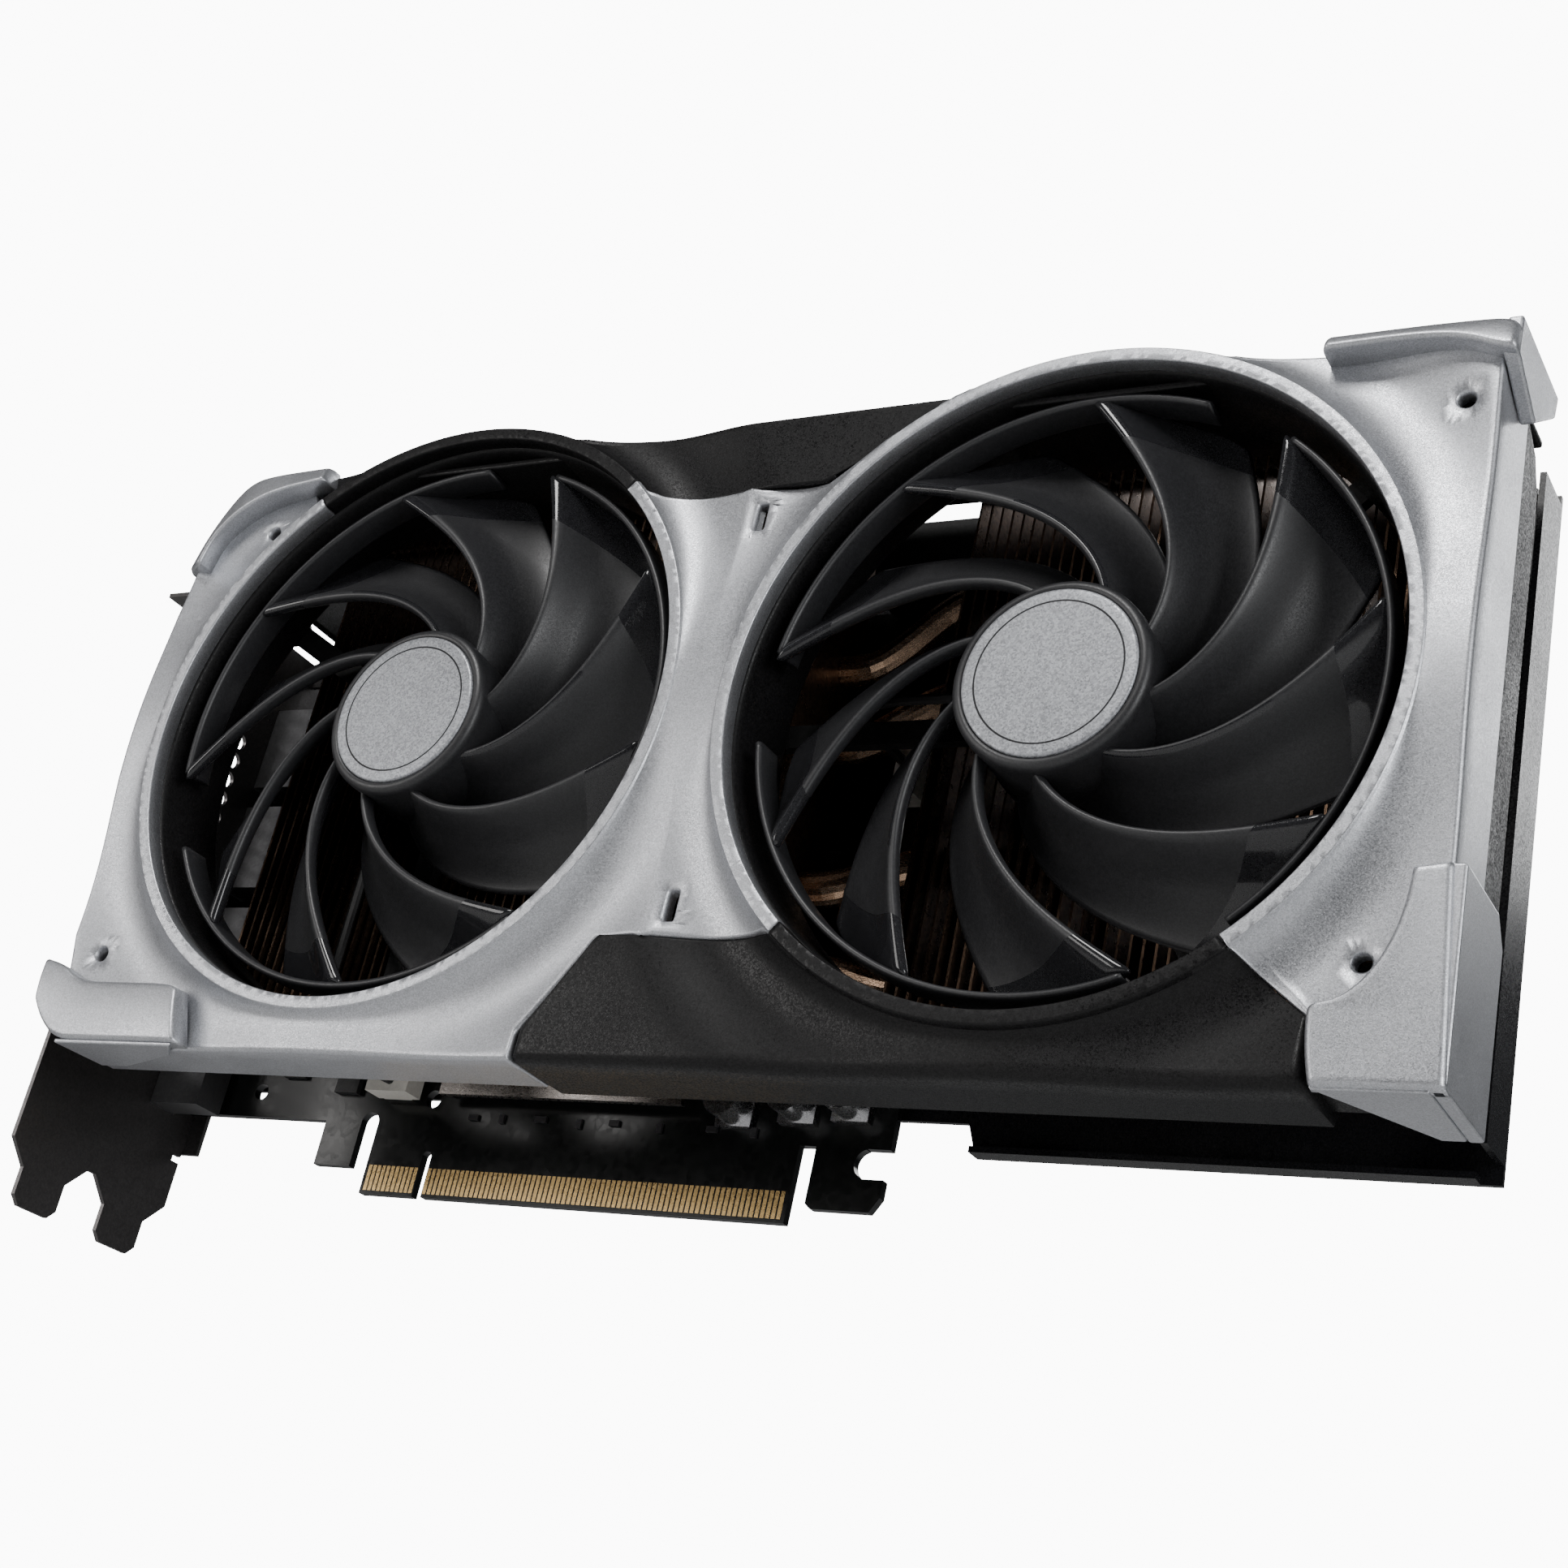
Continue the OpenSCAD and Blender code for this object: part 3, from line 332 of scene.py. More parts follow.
seam_low, seam_high = 30.3, 108.85
left_outline = [
    (-27.7, 112.8), (-31.8, 116.2), (-33.0, 118.6), (-45.0, 118.8), (-50.4, 116.5),
    (-54.0, 110.5), (-56.4, 103.0), (-57.0, 93.8), (-56.4, 60.0), (-54.6, 30.0),
    (-50.6, 16.0), (-47.0, shroud_low), (45.1, shroud_low), (44.9, 14.5),
    (54.8, seam_low), (middle_x, seam_low), (middle_x, seam_high), (46.9, seam_high),
    (40.4, 110.4), (left_x, fan_z),
]
right_outline = [
    (155.1, 29.2), (156.8, 27.8), (167.4, 19.4), (167.4, shroud_low),
    (end_x, shroud_low), (end_x, shroud_top), (97.8, shroud_top), (95.2, 118.8),
    (77.5, seam_high), (middle_x, seam_high), (middle_x, seam_low),
    (84.7, seam_low), (87.4, 30.0), (right_x, fan_z),
]


def wall_back(x, z):
    """How deep the wall behind the edge at (x, z) runs: deep under the card and along
    the free end, where it steps back near the bottom, and shallow elsewhere."""
    deep = np.full_like(x, 3.6)
    deep = np.where((z < shroud_low + 0.5) & (x > -50), 13.5, deep)
    end = 15.6 + 3.6 * smooth_step((40.5 - z) / 5)
    deep = np.where(x > end_x - 0.5, end, deep)
    return np.where((z > shroud_top - 0.5) & (x > 90), 9.0, deep)


def apply_modifiers(piece):
    """The piece with its modifiers made part of its mesh."""
    graph = bpy.context.evaluated_depsgraph_get()
    made = bpy.data.meshes.new_from_object(piece.evaluated_get(graph))
    piece.modifiers.clear()
    piece.data = made
    return piece


def grain_group():
    """Speckled surface: fine cells and a slower noise that vary colour and roughness."""
    group = bpy.data.node_groups.new("surface_grain", "ShaderNodeTree")
    sockets = group.interface
    for name, kind, value in (
        ("Vector", "NodeSocketVector", None),
        ("Colour", "NodeSocketColor", (0.5, 0.5, 0.5, 1)),
        ("Cells per metre", "NodeSocketFloat", 5000.0),
        ("Contrast", "NodeSocketFloat", 0.2),
        ("Roughness", "NodeSocketFloat", 0.4),
        ("Spread", "NodeSocketFloat", 0.1),
    ):
        socket = sockets.new_socket(name, in_out="INPUT", socket_type=kind)
        if value is not None:
            socket.default_value = value
    for name, kind in (
        ("Colour", "NodeSocketColor"),
        ("Roughness", "NodeSocketFloat"),
        ("Height", "NodeSocketFloat"),
    ):
        sockets.new_socket(name, in_out="OUTPUT", socket_type=kind)
    nodes, links = group.nodes, group.links
    given = nodes.new("NodeGroupInput")
    made = nodes.new("NodeGroupOutput")
    cells = nodes.new("ShaderNodeTexVoronoi")
    slow = nodes.new("ShaderNodeTexNoise")
    slow.inputs["Scale"].default_value = 60.0
    slow.inputs["Detail"].default_value = 4.0
    links.new(given.outputs["Vector"], cells.inputs["Vector"])
    links.new(given.outputs["Vector"], slow.inputs["Vector"])
    links.new(given.outputs["Cells per metre"], cells.inputs["Scale"])
    flake = nodes.new("ShaderNodeSeparateColor")
    links.new(cells.outputs["Color"], flake.inputs["Color"])

    def maths(kind, a, b):
        """A Math node of one kind, fed by sockets or numbers."""
        node = nodes.new("ShaderNodeMath")
        node.operation = kind
        for slot, value in zip(node.inputs, (a, b)):
            if isinstance(value, (int, float)):
                slot.default_value = value
            else:
                links.new(value, slot)
        return node.outputs[0]

    swing = maths("SUBTRACT", flake.outputs["Red"], 0.5)
    drift = maths("SUBTRACT", slow.outputs["Fac"], 0.5)
    lift = maths("MULTIPLY", swing, given.outputs["Contrast"])
    slow_contrast = maths("MULTIPLY", given.outputs["Contrast"], 0.35)
    lift = maths("ADD", lift, maths("MULTIPLY", drift, slow_contrast))
    gain = maths("ADD", lift, 1.0)
    tint = nodes.new("ShaderNodeVectorMath")
    tint.operation = "SCALE"
    links.new(given.outputs["Colour"], tint.inputs[0])
    links.new(gain, tint.inputs["Scale"])
    links.new(tint.outputs["Vector"], made.inputs["Colour"])
    jitter = maths("SUBTRACT", flake.outputs["Green"], 0.5)
    rough = maths("MULTIPLY", jitter, given.outputs["Spread"])
    rough = maths("ADD", rough, maths("MULTIPLY", drift, given.outputs["Spread"]))
    links.new(maths("ADD", rough, given.outputs["Roughness"]), made.inputs["Roughness"])
    links.new(flake.outputs["Blue"], made.inputs["Height"])
    return group


surface_grain = grain_group()


def finish_material(name, colour, rough, cells, contrast, spread, metallic=0.0, bump=0.0,
                    stretch=(1, 1, 1), coat=0.0):
    """A material whose colour, roughness and fine relief come from surface_grain.
    stretch squeezes the cells along an axis, as brushing and rolling do."""
    material = bpy.data.materials.new(name)
    material.use_nodes = True
    tree = material.node_tree
    shader = tree.nodes["Principled BSDF"]
    where = tree.nodes.new("ShaderNodeTexCoord")
    spot = tree.nodes.new("ShaderNodeMapping")
    spot.inputs["Scale"].default_value = stretch
    grain = tree.nodes.new("ShaderNodeGroup")
    grain.node_tree = surface_grain
    grain.inputs["Colour"].default_value = (*colour, 1)
    grain.inputs["Cells per metre"].default_value = cells
    grain.inputs["Contrast"].default_value = contrast
    grain.inputs["Roughness"].default_value = rough
    grain.inputs["Spread"].default_value = spread
    relief = tree.nodes.new("ShaderNodeBump")
    relief.inputs["Strength"].default_value = bump
    relief.inputs["Distance"].default_value = 0.0001
    tree.links.new(where.outputs["Object"], spot.inputs["Vector"])
    tree.links.new(spot.outputs["Vector"], grain.inputs["Vector"])
    tree.links.new(grain.outputs["Colour"], shader.inputs["Base Color"])
    tree.links.new(grain.outputs["Roughness"], shader.inputs["Roughness"])
    tree.links.new(grain.outputs["Height"], relief.inputs["Height"])
    tree.links.new(relief.outputs["Normal"], shader.inputs["Normal"])
    shader.inputs["Metallic"].default_value = metallic
    shader.inputs["Coat Weight"].default_value = coat
    return material


silver = finish_material("silver_paint", (0.47, 0.48, 0.505), 0.42, 6500, 0.42, 0.2,
                         metallic=0.82, bump=0.16)

left_start, left_stop = 126.8, 407.0
right_start, right_stop = -52.2, 229.0
left_angles = ray_angles(
    left_start, left_stop, [angle_to(left_x, p) % 360 for p in left_outline[2:-3]]
    + [angle_to(left_x, p) + 360 for p in left_outline[14:18]],
)
right_angles = ray_angles(
    right_start, right_stop, [angle_to(right_x, p) % 360 for p in right_outline[5:-1]]
    + [angle_to(right_x, p) for p in right_outline[1:5]],
)
cover_fold, seam_back, cover_wall = 0.8, 0.36, 1.1
sheets = []
for centre_x, angles, outline in (
    (left_x, left_angles, left_outline),
    (right_x, right_angles, right_outline),
):
    reach = ray_reach((centre_x, fan_z), angles, outline)
    reach = np.where(np.isfinite(reach), reach, lip_end_r)
    edge_x, edge_z = centre_x + reach * np.cos(angles), fan_z + reach * np.sin(angles)
    inward = np.abs(edge_x - middle_x) < 0.01
    fold = np.where(inward, 0.0, cover_fold)
    back = np.where(inward, seam_back, wall_back(edge_x, edge_z))
    sheets.append(ring_sheet(centre_x, angles, reach, back, fold))
points = np.concatenate([s.reshape(-1, 3) for s in sheets])
faces = np.concatenate([
    grid_quads(*sheets[0].shape[:2], flip=True),
    grid_quads(*sheets[1].shape[:2], first=sheets[0][..., 0].size, flip=True),
])
cover = weld(mesh_piece("front_cover", points, faces, silver), closed=False)


def drill(piece, x, z, half_x, half_z, power, bevel=0.35, clear=1.3, through=2.6):
    """Opens a hole in a sheet round (x, z). The faces within clear mm of it go, and
    rings of the form |x / half_x|^power + |z / half_z|^power = 1 take their place: a
    wider one in the face, one as far back as the bevel, and one behind the sheet."""
    form = bmesh.new()
    form.from_mesh(piece.data)
    near = [v for v in form.verts if abs(v.co.x / MM - x) < half_x + clear
            and abs(v.co.z / MM - z) < half_z + clear]
    level = sum(v.co.y for v in near) / len(near)
    gone = {face for v in near for face in v.link_faces}
    rim = [e for e in {e for face in gone for e in face.edges}
           if sum(face in gone for face in e.link_faces) == 1 and len(e.link_faces) == 2]
    bmesh.ops.delete(form, geom=list(gone), context="FACES")
    rim = [e for e in rim if e.is_valid]
    turns = np.radians(np.arange(0, 360, 7.5))
    swell = np.abs(np.cos(turns)) ** power + np.abs(np.sin(turns)) ** power
    swell = swell ** (-1 / power)
    rings = []
    for spread, deeper in ((bevel, 0.0), (0.0, bevel), (0.0, through)):
        across = x + (half_x + spread) * swell * np.cos(turns)
        height = z + (half_z + spread) * swell * np.sin(turns)
        rings.append([form.verts.new((a * MM, level + deeper * MM, b * MM))
                      for a, b in zip(across, height)])
    count = len(turns)
    outer = [form.edges.new((rings[0][k], rings[0][(k + 1) % count]))
             for k in range(count)]
    bridge = bmesh.ops.bridge_loops(form, edges=rim + outer)["faces"]
    walls = []
    for inner, outside in ((rings[1], rings[0]), (rings[2], rings[1])):
        for k in range(count):
            k2 = (k + 1) % count
            walls.append(form.faces.new((outside[k], outside[k2], inner[k2], inner[k])))
    for face in bridge + walls:
        face.smooth = True
        face.normal_update()
    for face in bridge:
        if face.normal.y > 0:
            face.normal_flip()
    for face in walls:
        middle = face.calc_center_median()
        if (middle.x / MM - x) * face.normal.x + (middle.z / MM - z) * face.normal.z > 0:
            face.normal_flip()
    form.to_mesh(piece.data)
    form.free()


screw_holes = [(-47.3, 26.8), (-40.8, 110.8), (179.0, 111.4), (173.2, 27.2)]
clip_slots = [(66.2, 103.6), (67.1, 35.4)]
for x, z in screw_holes:
    drill(cover, x, z, half_x=1.3, half_z=1.3, power=2)
for x, z in clip_slots:
    drill(cover, x, z, half_x=1.0, half_z=2.5, power=8, clear=1.1)
thick = cover.modifiers.new("wall", "SOLIDIFY")
thick.thickness = cover_wall * MM
thick.offset = -1
apply_modifiers(cover)
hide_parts("shroud_cover")
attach(cover, "card")


# ---------------------------------------------------------------- Black shroud
# The moulding behind the cover: textured black plastic with the two fan ducts, the
# bare lip arcs, the panels over and under the middle, and the walls round the cooler.
black_plastic = finish_material("black_shroud", (0.006, 0.0058, 0.0062), 0.46, 4200, 1.1,
                                0.3, bump=0.35)
black_shader = black_plastic.node_tree.nodes["Principled BSDF"]
black_shader.inputs["Specular IOR Level"].default_value = 0.22
duct_back = 18.0
duct_profile = [
    (ring_r + 0.02, 3.05), (ring_r - 0.35, 3.6), (ring_r - 0.5, 4.6), (ring_r - 0.5, 12),
    (ring_r - 0.5, duct_back - 0.6), (ring_r - 0.2, duct_back), (ring_r + 1.1, duct_back),
    (ring_r + 1.1, 8), (ring_r + 1.1, 3.05),
]


def turned(profile, angles):
    """A profile of (radius, depth) points carried round the y axis: for each angle a,
    a row of points (r cos a, depth, r sin a)."""
    r, depth = np.array(profile, float).T
    return np.stack([np.outer(np.cos(angles), r),
                     np.broadcast_to(depth, (len(angles), len(r))),
                     np.outer(np.sin(angles), r)], -1)


def tube_faces(rows, cols):
    """Quads round a tube of rows rings with cols points each, and its two flat ends."""
    ends = [list(range(cols)), list(range((rows - 1) * cols, rows * cols))]
    return grid_quads(rows, cols, wrap_cols=True).tolist() + ends


def lathe(name, centre_x, profile, material, turns=240, start=0.0, stop=360.0):
    """A closed profile of (radius, depth) points carried round a fan's axis. A part
    turn gets a flat cap at each end."""
    whole = stop - start >= 360
    angles = np.radians(np.linspace(start, stop, turns, endpoint=not whole))
    points = turned(profile, angles) + (centre_x, 0, fan_z)
    count = len(profile)
    if whole:
        faces = grid_quads(turns, count, wrap_rows=True, wrap_cols=True).tolist()
    else:
        faces = tube_faces(turns, count)
    return weld(mesh_piece(name, points.reshape(-1, 3), faces, material))


def join(name, parts):
    """Several meshes made one piece."""
    first = parts[0]
    with bpy.context.temp_override(active_object=first, selected_editable_objects=parts):
        bpy.ops.object.join()
    first.name = name
    first.data.name = name
    return first


def prism(name, outline, start, stop, material, axis="depth", round_edge=0.4):
    """A flat outline carried along one axis, with rounded edges. Depth prisms take
    (x, z) points, length prisms (depth, z) points and height prisms (x, depth)."""
    flat = np.array(outline, float)
    ends = []
    for level in (start, stop):
        far = np.full(len(flat), float(level))
        order = {
            "depth": (flat[:, 0], far, flat[:, 1]),
            "length": (far, flat[:, 0], flat[:, 1]),
            "height": (flat[:, 0], flat[:, 1], far),
        }[axis]
        ends.append(np.stack(order, -1))
    faces = tube_faces(2, len(flat))
    piece = weld(mesh_piece(name, np.concatenate(ends), faces, material, smooth=False))
    edge = piece.modifiers.new("edge", "BEVEL")
    edge.width = round_edge * MM
    edge.segments = 3
    edge.limit_method = "ANGLE"
    edge.angle_limit = math.radians(25)
    edge.harden_normals = False
    return apply_modifiers(piece)


def lip_arc(centre_x, start, stop):
    """The bare stretch of a fan's lip, with the cover's own lip profile."""
    front = lip_rows + [(lip_end_r + 0.3, 1.2), (lip_end_r + 0.3, 3.0)]
    return lathe("lip", centre_x, front, black_plastic, 110, start, stop)


panel_step, panel_wall = 0.45, 1.6


def panel(centre_x, angles, inner, reach, wall_depth, fold):
    """One dark panel: the same front form as the cover, a little further back."""
    grid = ring_sheet(centre_x, angles, reach, wall_depth, fold, lips=False, inner=inner)
    away = np.hypot(grid[..., 0] - centre_x, grid[..., 2] - fan_z)
    grid[..., 1] += panel_step * (away > lip_end_r + 0.01)
    piece = mesh_piece("panel", grid.reshape(-1, 3),
                       grid_quads(*grid.shape[:2], flip=True), black_plastic)
    weld(piece, closed=False)
    wall = piece.modifiers.new("wall", "SOLIDIFY")
    wall.thickness = panel_wall * MM
    wall.offset = -1
    return apply_modifiers(piece)


def distance_to_level(angles, level):
    """How far along each ray from a fan's centre the height reaches level."""
    return (level - fan_z) / np.sin(angles)


def run_reach(centre_x, angles, run, turns=0):
    """Distance from a fan's centre to a run of points, interpolated by angle between
    them. The run's own angles are counted from turns whole turns."""
    across, height = np.array(run).T
    run_turn = 360 * turns + np.degrees(np.arctan2(height - fan_z, across - centre_x))
    return np.interp(np.degrees(angles), run_turn, np.hypot(across - centre_x, height - fan_z))


slant_stop, seam_stop, guard_start = 28.6, 229, 307.4
upper_angles = np.radians(np.concatenate([
    np.linspace(27.25, slant_stop, 10), np.linspace(29, 69, 90)]))
upper_inner = np.maximum(distance_to_level(upper_angles, seam_high), lip_end_r)
upper_reach = np.where(
    np.degrees(upper_angles) < slant_stop,
    run_reach(left_x, upper_angles, [(77.5, seam_high), (95.2, 118.8), (97.8, shroud_top)]),
    distance_to_level(upper_angles, shroud_top))
left_sliver = np.radians(np.linspace(111, 126.6, 24))
lower_angles = np.radians(np.concatenate([
    np.linspace(211.6, seam_stop, 36), np.linspace(seam_stop + 0.5, guard_start, 120),
    np.linspace(307.5, 310.5, 14)]))
lower_inner = np.where(np.degrees(lower_angles) < seam_stop,
                       distance_to_level(lower_angles, seam_low), lip_end_r)
lower_inner = np.maximum(lower_inner, lip_end_r)
lower_reach = ray_reach((right_x, fan_z), lower_angles, [
    (45.0, shroud_low), (45.0, 14.5), (54.9, seam_low), (54.9, 130), (190, 130), (190, 19.3),
    (167.7, 19.3), (167.7, shroud_low)])
guard_reach = run_reach(
    right_x, lower_angles, [(155.1, 29.2), (156.8, 27.8), (167.4, 19.4)], turns=1)
lower_inner = np.maximum(lower_inner, np.where(
    np.degrees(lower_angles) > guard_start, guard_reach - 0.1, 0))
shroud_parts = [
    lathe("duct", left_x, duct_profile, black_plastic),
    lathe("duct", right_x, duct_profile, black_plastic),
    lip_arc(left_x, 47.2, 126.6),
    lip_arc(right_x, 229.2, guard_start),
    panel(left_x, upper_angles, upper_inner, upper_reach,
          np.full_like(upper_angles, 9.0), np.full_like(upper_angles, 1.4)),
    panel(left_x, left_sliver, np.full_like(left_sliver, lip_end_r),
          distance_to_level(left_sliver, shroud_top),
          np.full_like(left_sliver, 9.0), np.full_like(left_sliver, 1.0)),
    panel(right_x, lower_angles, lower_inner, lower_reach,
          np.full_like(lower_angles, 16.0), np.full_like(lower_angles, 2.2)),
    prism("top_wall", [(-46, 120.7), (182.3, 120.7), (182.3, 121.9), (-46, 121.9)],
          4.5, 30, black_plastic),
    prism("left_wall", [(3.6, 107), (38, 107), (38, 118.5), (3.6, 118.5)],
          -51.4, -49.7, black_plastic, "length"),
    prism("end_wall", [(14.5, 12.5), (27.6, 12.5), (29.6, 16), (29.9, 112),
                       (27.2, 117.6), (21.8, 120.8), (14.5, 120.8)],
          180.6, 182.3, black_plastic, "length", 0.5),
    prism("inner_low", [(-46, 11.8), (182, 11.8), (182, 13.4), (-46, 13.4)],
          4.5, 16, black_plastic, round_edge=0.3),
]
shroud = join("black_shroud", shroud_parts)
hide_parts("shroud_base")
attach(shroud, "card")


# ---------------------------------------------------------------- Corner caps
# Four moulded guards in the cover's paint, clipped over the corners: a faceted front
# with a rounded ridge, and plates that wrap round the end and the underside.
def along(points, count):
    """Count points spaced evenly by length along a polyline."""
    points = np.array(points, float)
    step = np.hypot(*np.diff(points, axis=0).T)
    run = np.concatenate([[0], np.cumsum(step)])
    t = np.linspace(0, run[-1], count)
    return np.stack([np.interp(t, run, points[:, 0]), np.interp(t, run, points[:, 1])], -1)


def soften(points, rounds=3):
    """A polyline with its corners cut at a quarter of each side, rounds times over."""
    points = np.array(points, float)
    for _ in range(rounds):
        near = points[:-1] * 0.75 + points[1:] * 0.25
        far = points[:-1] * 0.25 + points[1:] * 0.75
        between = np.stack([near, far], 1).reshape(-1, 2)
        points = np.concatenate([points[:1], between, points[-1:]])
    return points


def ridge_cap(outer, inner, outer_depth, inner_depth, back, edge, crown=0.0, steps=90):
    """A bar between two rails. Across it the front runs straight from outer_depth to
    inner_depth, raised by crown 4 s (1 - s), with a quarter circle of radius edge at
    both sides; along it the same quarter circle rounds both ends."""
    a, b = along(soften(outer), steps), along(soften(inner), steps)
    width = np.hypot(*(b - a).T)[:, None]
    nose = np.minimum(edge, 0.45 * width)
    arc = np.radians(np.linspace(0, 90, 6))
    level = np.linspace(0, 1, 12)[None, 1:-1]
    rise = nose * (1 - np.cos(arc))[None]
    drop = nose * (1 - np.sin(arc))[None]
    middle = rise[:, -1:] + (width - 2 * nose) * level
    across = np.concatenate([0 * width, rise, middle, width - rise[:, ::-1], width], 1) / width
    extra = np.concatenate([0 * width, drop, 0 * middle, drop[:, ::-1], 0 * width], 1)
    front = outer_depth + (inner_depth - outer_depth) * across
    front = front - crown * 4 * across * (1 - across)
    run = np.concatenate([[0], np.cumsum(np.hypot(*np.diff((a + b) / 2, axis=0).T))])
    near = np.clip(np.minimum(run, run[-1] - run) / edge, 0, 1)[:, None]
    depth = front + extra + edge * (1 - np.sqrt(1 - (1 - near) ** 2))
    depth[:, 0] = depth[:, -1] = back
    depth = np.minimum(depth, back)
    flat = a[:, None] * (1 - across[..., None]) + b[:, None] * across[..., None]
    points = np.stack([flat[..., 0], depth, flat[..., 1]], -1)
    faces = tube_faces(steps, across.shape[1])
    return weld(mesh_piece("ridge", points.reshape(-1, 3), faces, silver), gap=0.005)


def plate(outline, start, stop, axis, edge=0.45):
    """A flat side plate of a cap, with rounded edges."""
    return prism("plate", outline, start, stop, silver, axis, edge)


guard_x, guard_top, guard_half_x, guard_half_z = 168.2, 39.8, 11.2, 19.6
guard_arc = [
    (guard_x + guard_half_x * math.sin(t), guard_top - guard_half_z * math.cos(t))
    for t in map(math.radians, range(4, 91, 6))
]
caps = {
    "corner_cap_top_left": [
        ridge_cap([(-57.5, 103), (-55.4, 111), (-52.6, 117.4), (-49.6, 121.4),
                            (-45.4, 122.9), (-30.5, 123.2)],
                  [(-52.9, 103), (-51.6, 109), (-47.1, 114), (-40.3, 117.4), (-28.7, 118.8)],
                  1.6, -1.2, 4.5, 0.7, 0.3),
    ],
    "corner_cap_top_right": [
        ridge_cap([(158.4, 123.8), (178, 123.8), (184.6, 123.6), (186.3, 121.8)],
                  [(158.4, 120.1), (171, 120.3), (178.4, 119.5), (184, 116.9), (186.3, 116.6)],
                  0.9, -1.6, 5, 0.9, 0.5),
        plate([(1.0, 123.6), (21.9, 123.6), (21, 119.5), (11, 112), (0.2, 116.8)],
              184.1, 186.35, "length"),
        plate([(158.5, 2), (186, 2), (186, 21.8), (158.5, 21.8)], 123.3, 123.95,
              "height", 0.25),
    ],
    "corner_cap_bottom_left": [
        ridge_cap([(-56.0, 24.6), (-51, 23.4), (-46, 20.6), (-38, 20.4), (-26, 20.4),
                            (-23.2, 19.4)],
                  [(-54.4, 16.8), (-51.6, 13.2), (-47, 9.9), (-40, 9.9), (-19.4, 9.9)],
                  -0.9, -1.75, 1.9, 0.8, 0.3),
        plate([(-47, -1.0), (-20.5, -1.0), (-25, 4), (-40, 10), (-46, 10)], 9.25, 9.95,
              "height", 0.25),
    ],
    "corner_cap_bottom_right": [
        ridge_cap([(169.2, 9.4), (168.2, 14), (167.8, 19.4), (168.2, 20.1)] + guard_arc,
                  [(186.2, 9.4), (185.6, 22), (184.6, 39.8)], -0.8, -0.5, 1.9, 1.0, 0.0),
        plate([(0.2, 39.6), (0.2, 9.4), (18.8, 9.4), (19.2, 35.5), (16, 39.6)],
              184.1, 186.2, "length"),
        plate([(169.2, 0.2), (184.2, 0.2), (184.2, 17.8), (181, 17.8)], 9.2, 9.95,
              "height", 0.25),
    ],
}
for node_name, parts in caps.items():
    cap = join(node_name.replace("corner_cap", "sculpted_cap"), parts)
    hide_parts(node_name)
    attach(cap, "card")


# ---------------------------------------------------------------- Fans
# Moulded nine-blade rotors in black resin: swept blades with a thick rounded leading
# edge, every third tip free and the others tied by an arc, polished near the tips.
hub_r = 15.6
rotor_r = 49.4
tie_r = 48.2
chord_root, chord_tip = 33.0, 27.0
blade_turn, tip_round = 40, 1.2
nose_share, tail_share = 0.085, 0.03
blade_front, blade_fall = 4.0, 10.2


def lead_turn(r):
    """Angle in degrees by which the leading edge has swept at radius r."""
    return 2.76 * (r - hub_r) - 0.0284 * (r - hub_r) ** 2


def rotor_material():
    """Satin black resin, polished to a mirror where the tip and tie patches are."""
    material = finish_material("fan_black", (0.017, 0.0172, 0.019), 0.44, 5200, 0.6, 0.14,
                               bump=0.08)
    tree = material.node_tree
    shader = tree.nodes["Principled BSDF"]
    grain = next(n for n in tree.nodes if n.type == "GROUP")
    polish = tree.nodes.new("ShaderNodeAttribute")
    polish.attribute_name = "polish"
    crisp = tree.nodes.new("ShaderNodeMapRange")
    crisp.inputs["From Min"].default_value = 0.49
    crisp.inputs["From Max"].default_value = 0.51
    blend = tree.nodes.new("ShaderNodeMix")
    blend.data_type = "FLOAT"
    blend.inputs["B"].default_value = 0.07
    tree.links.new(polish.outputs["Fac"], crisp.inputs["Value"])
    tree.links.new(crisp.outputs["Result"], blend.inputs["Factor"])
    tree.links.new(grain.outputs["Roughness"], blend.inputs["A"])
    tree.links.new(blend.outputs["Result"], shader.inputs["Roughness"])
    return material


fan_black = rotor_material()


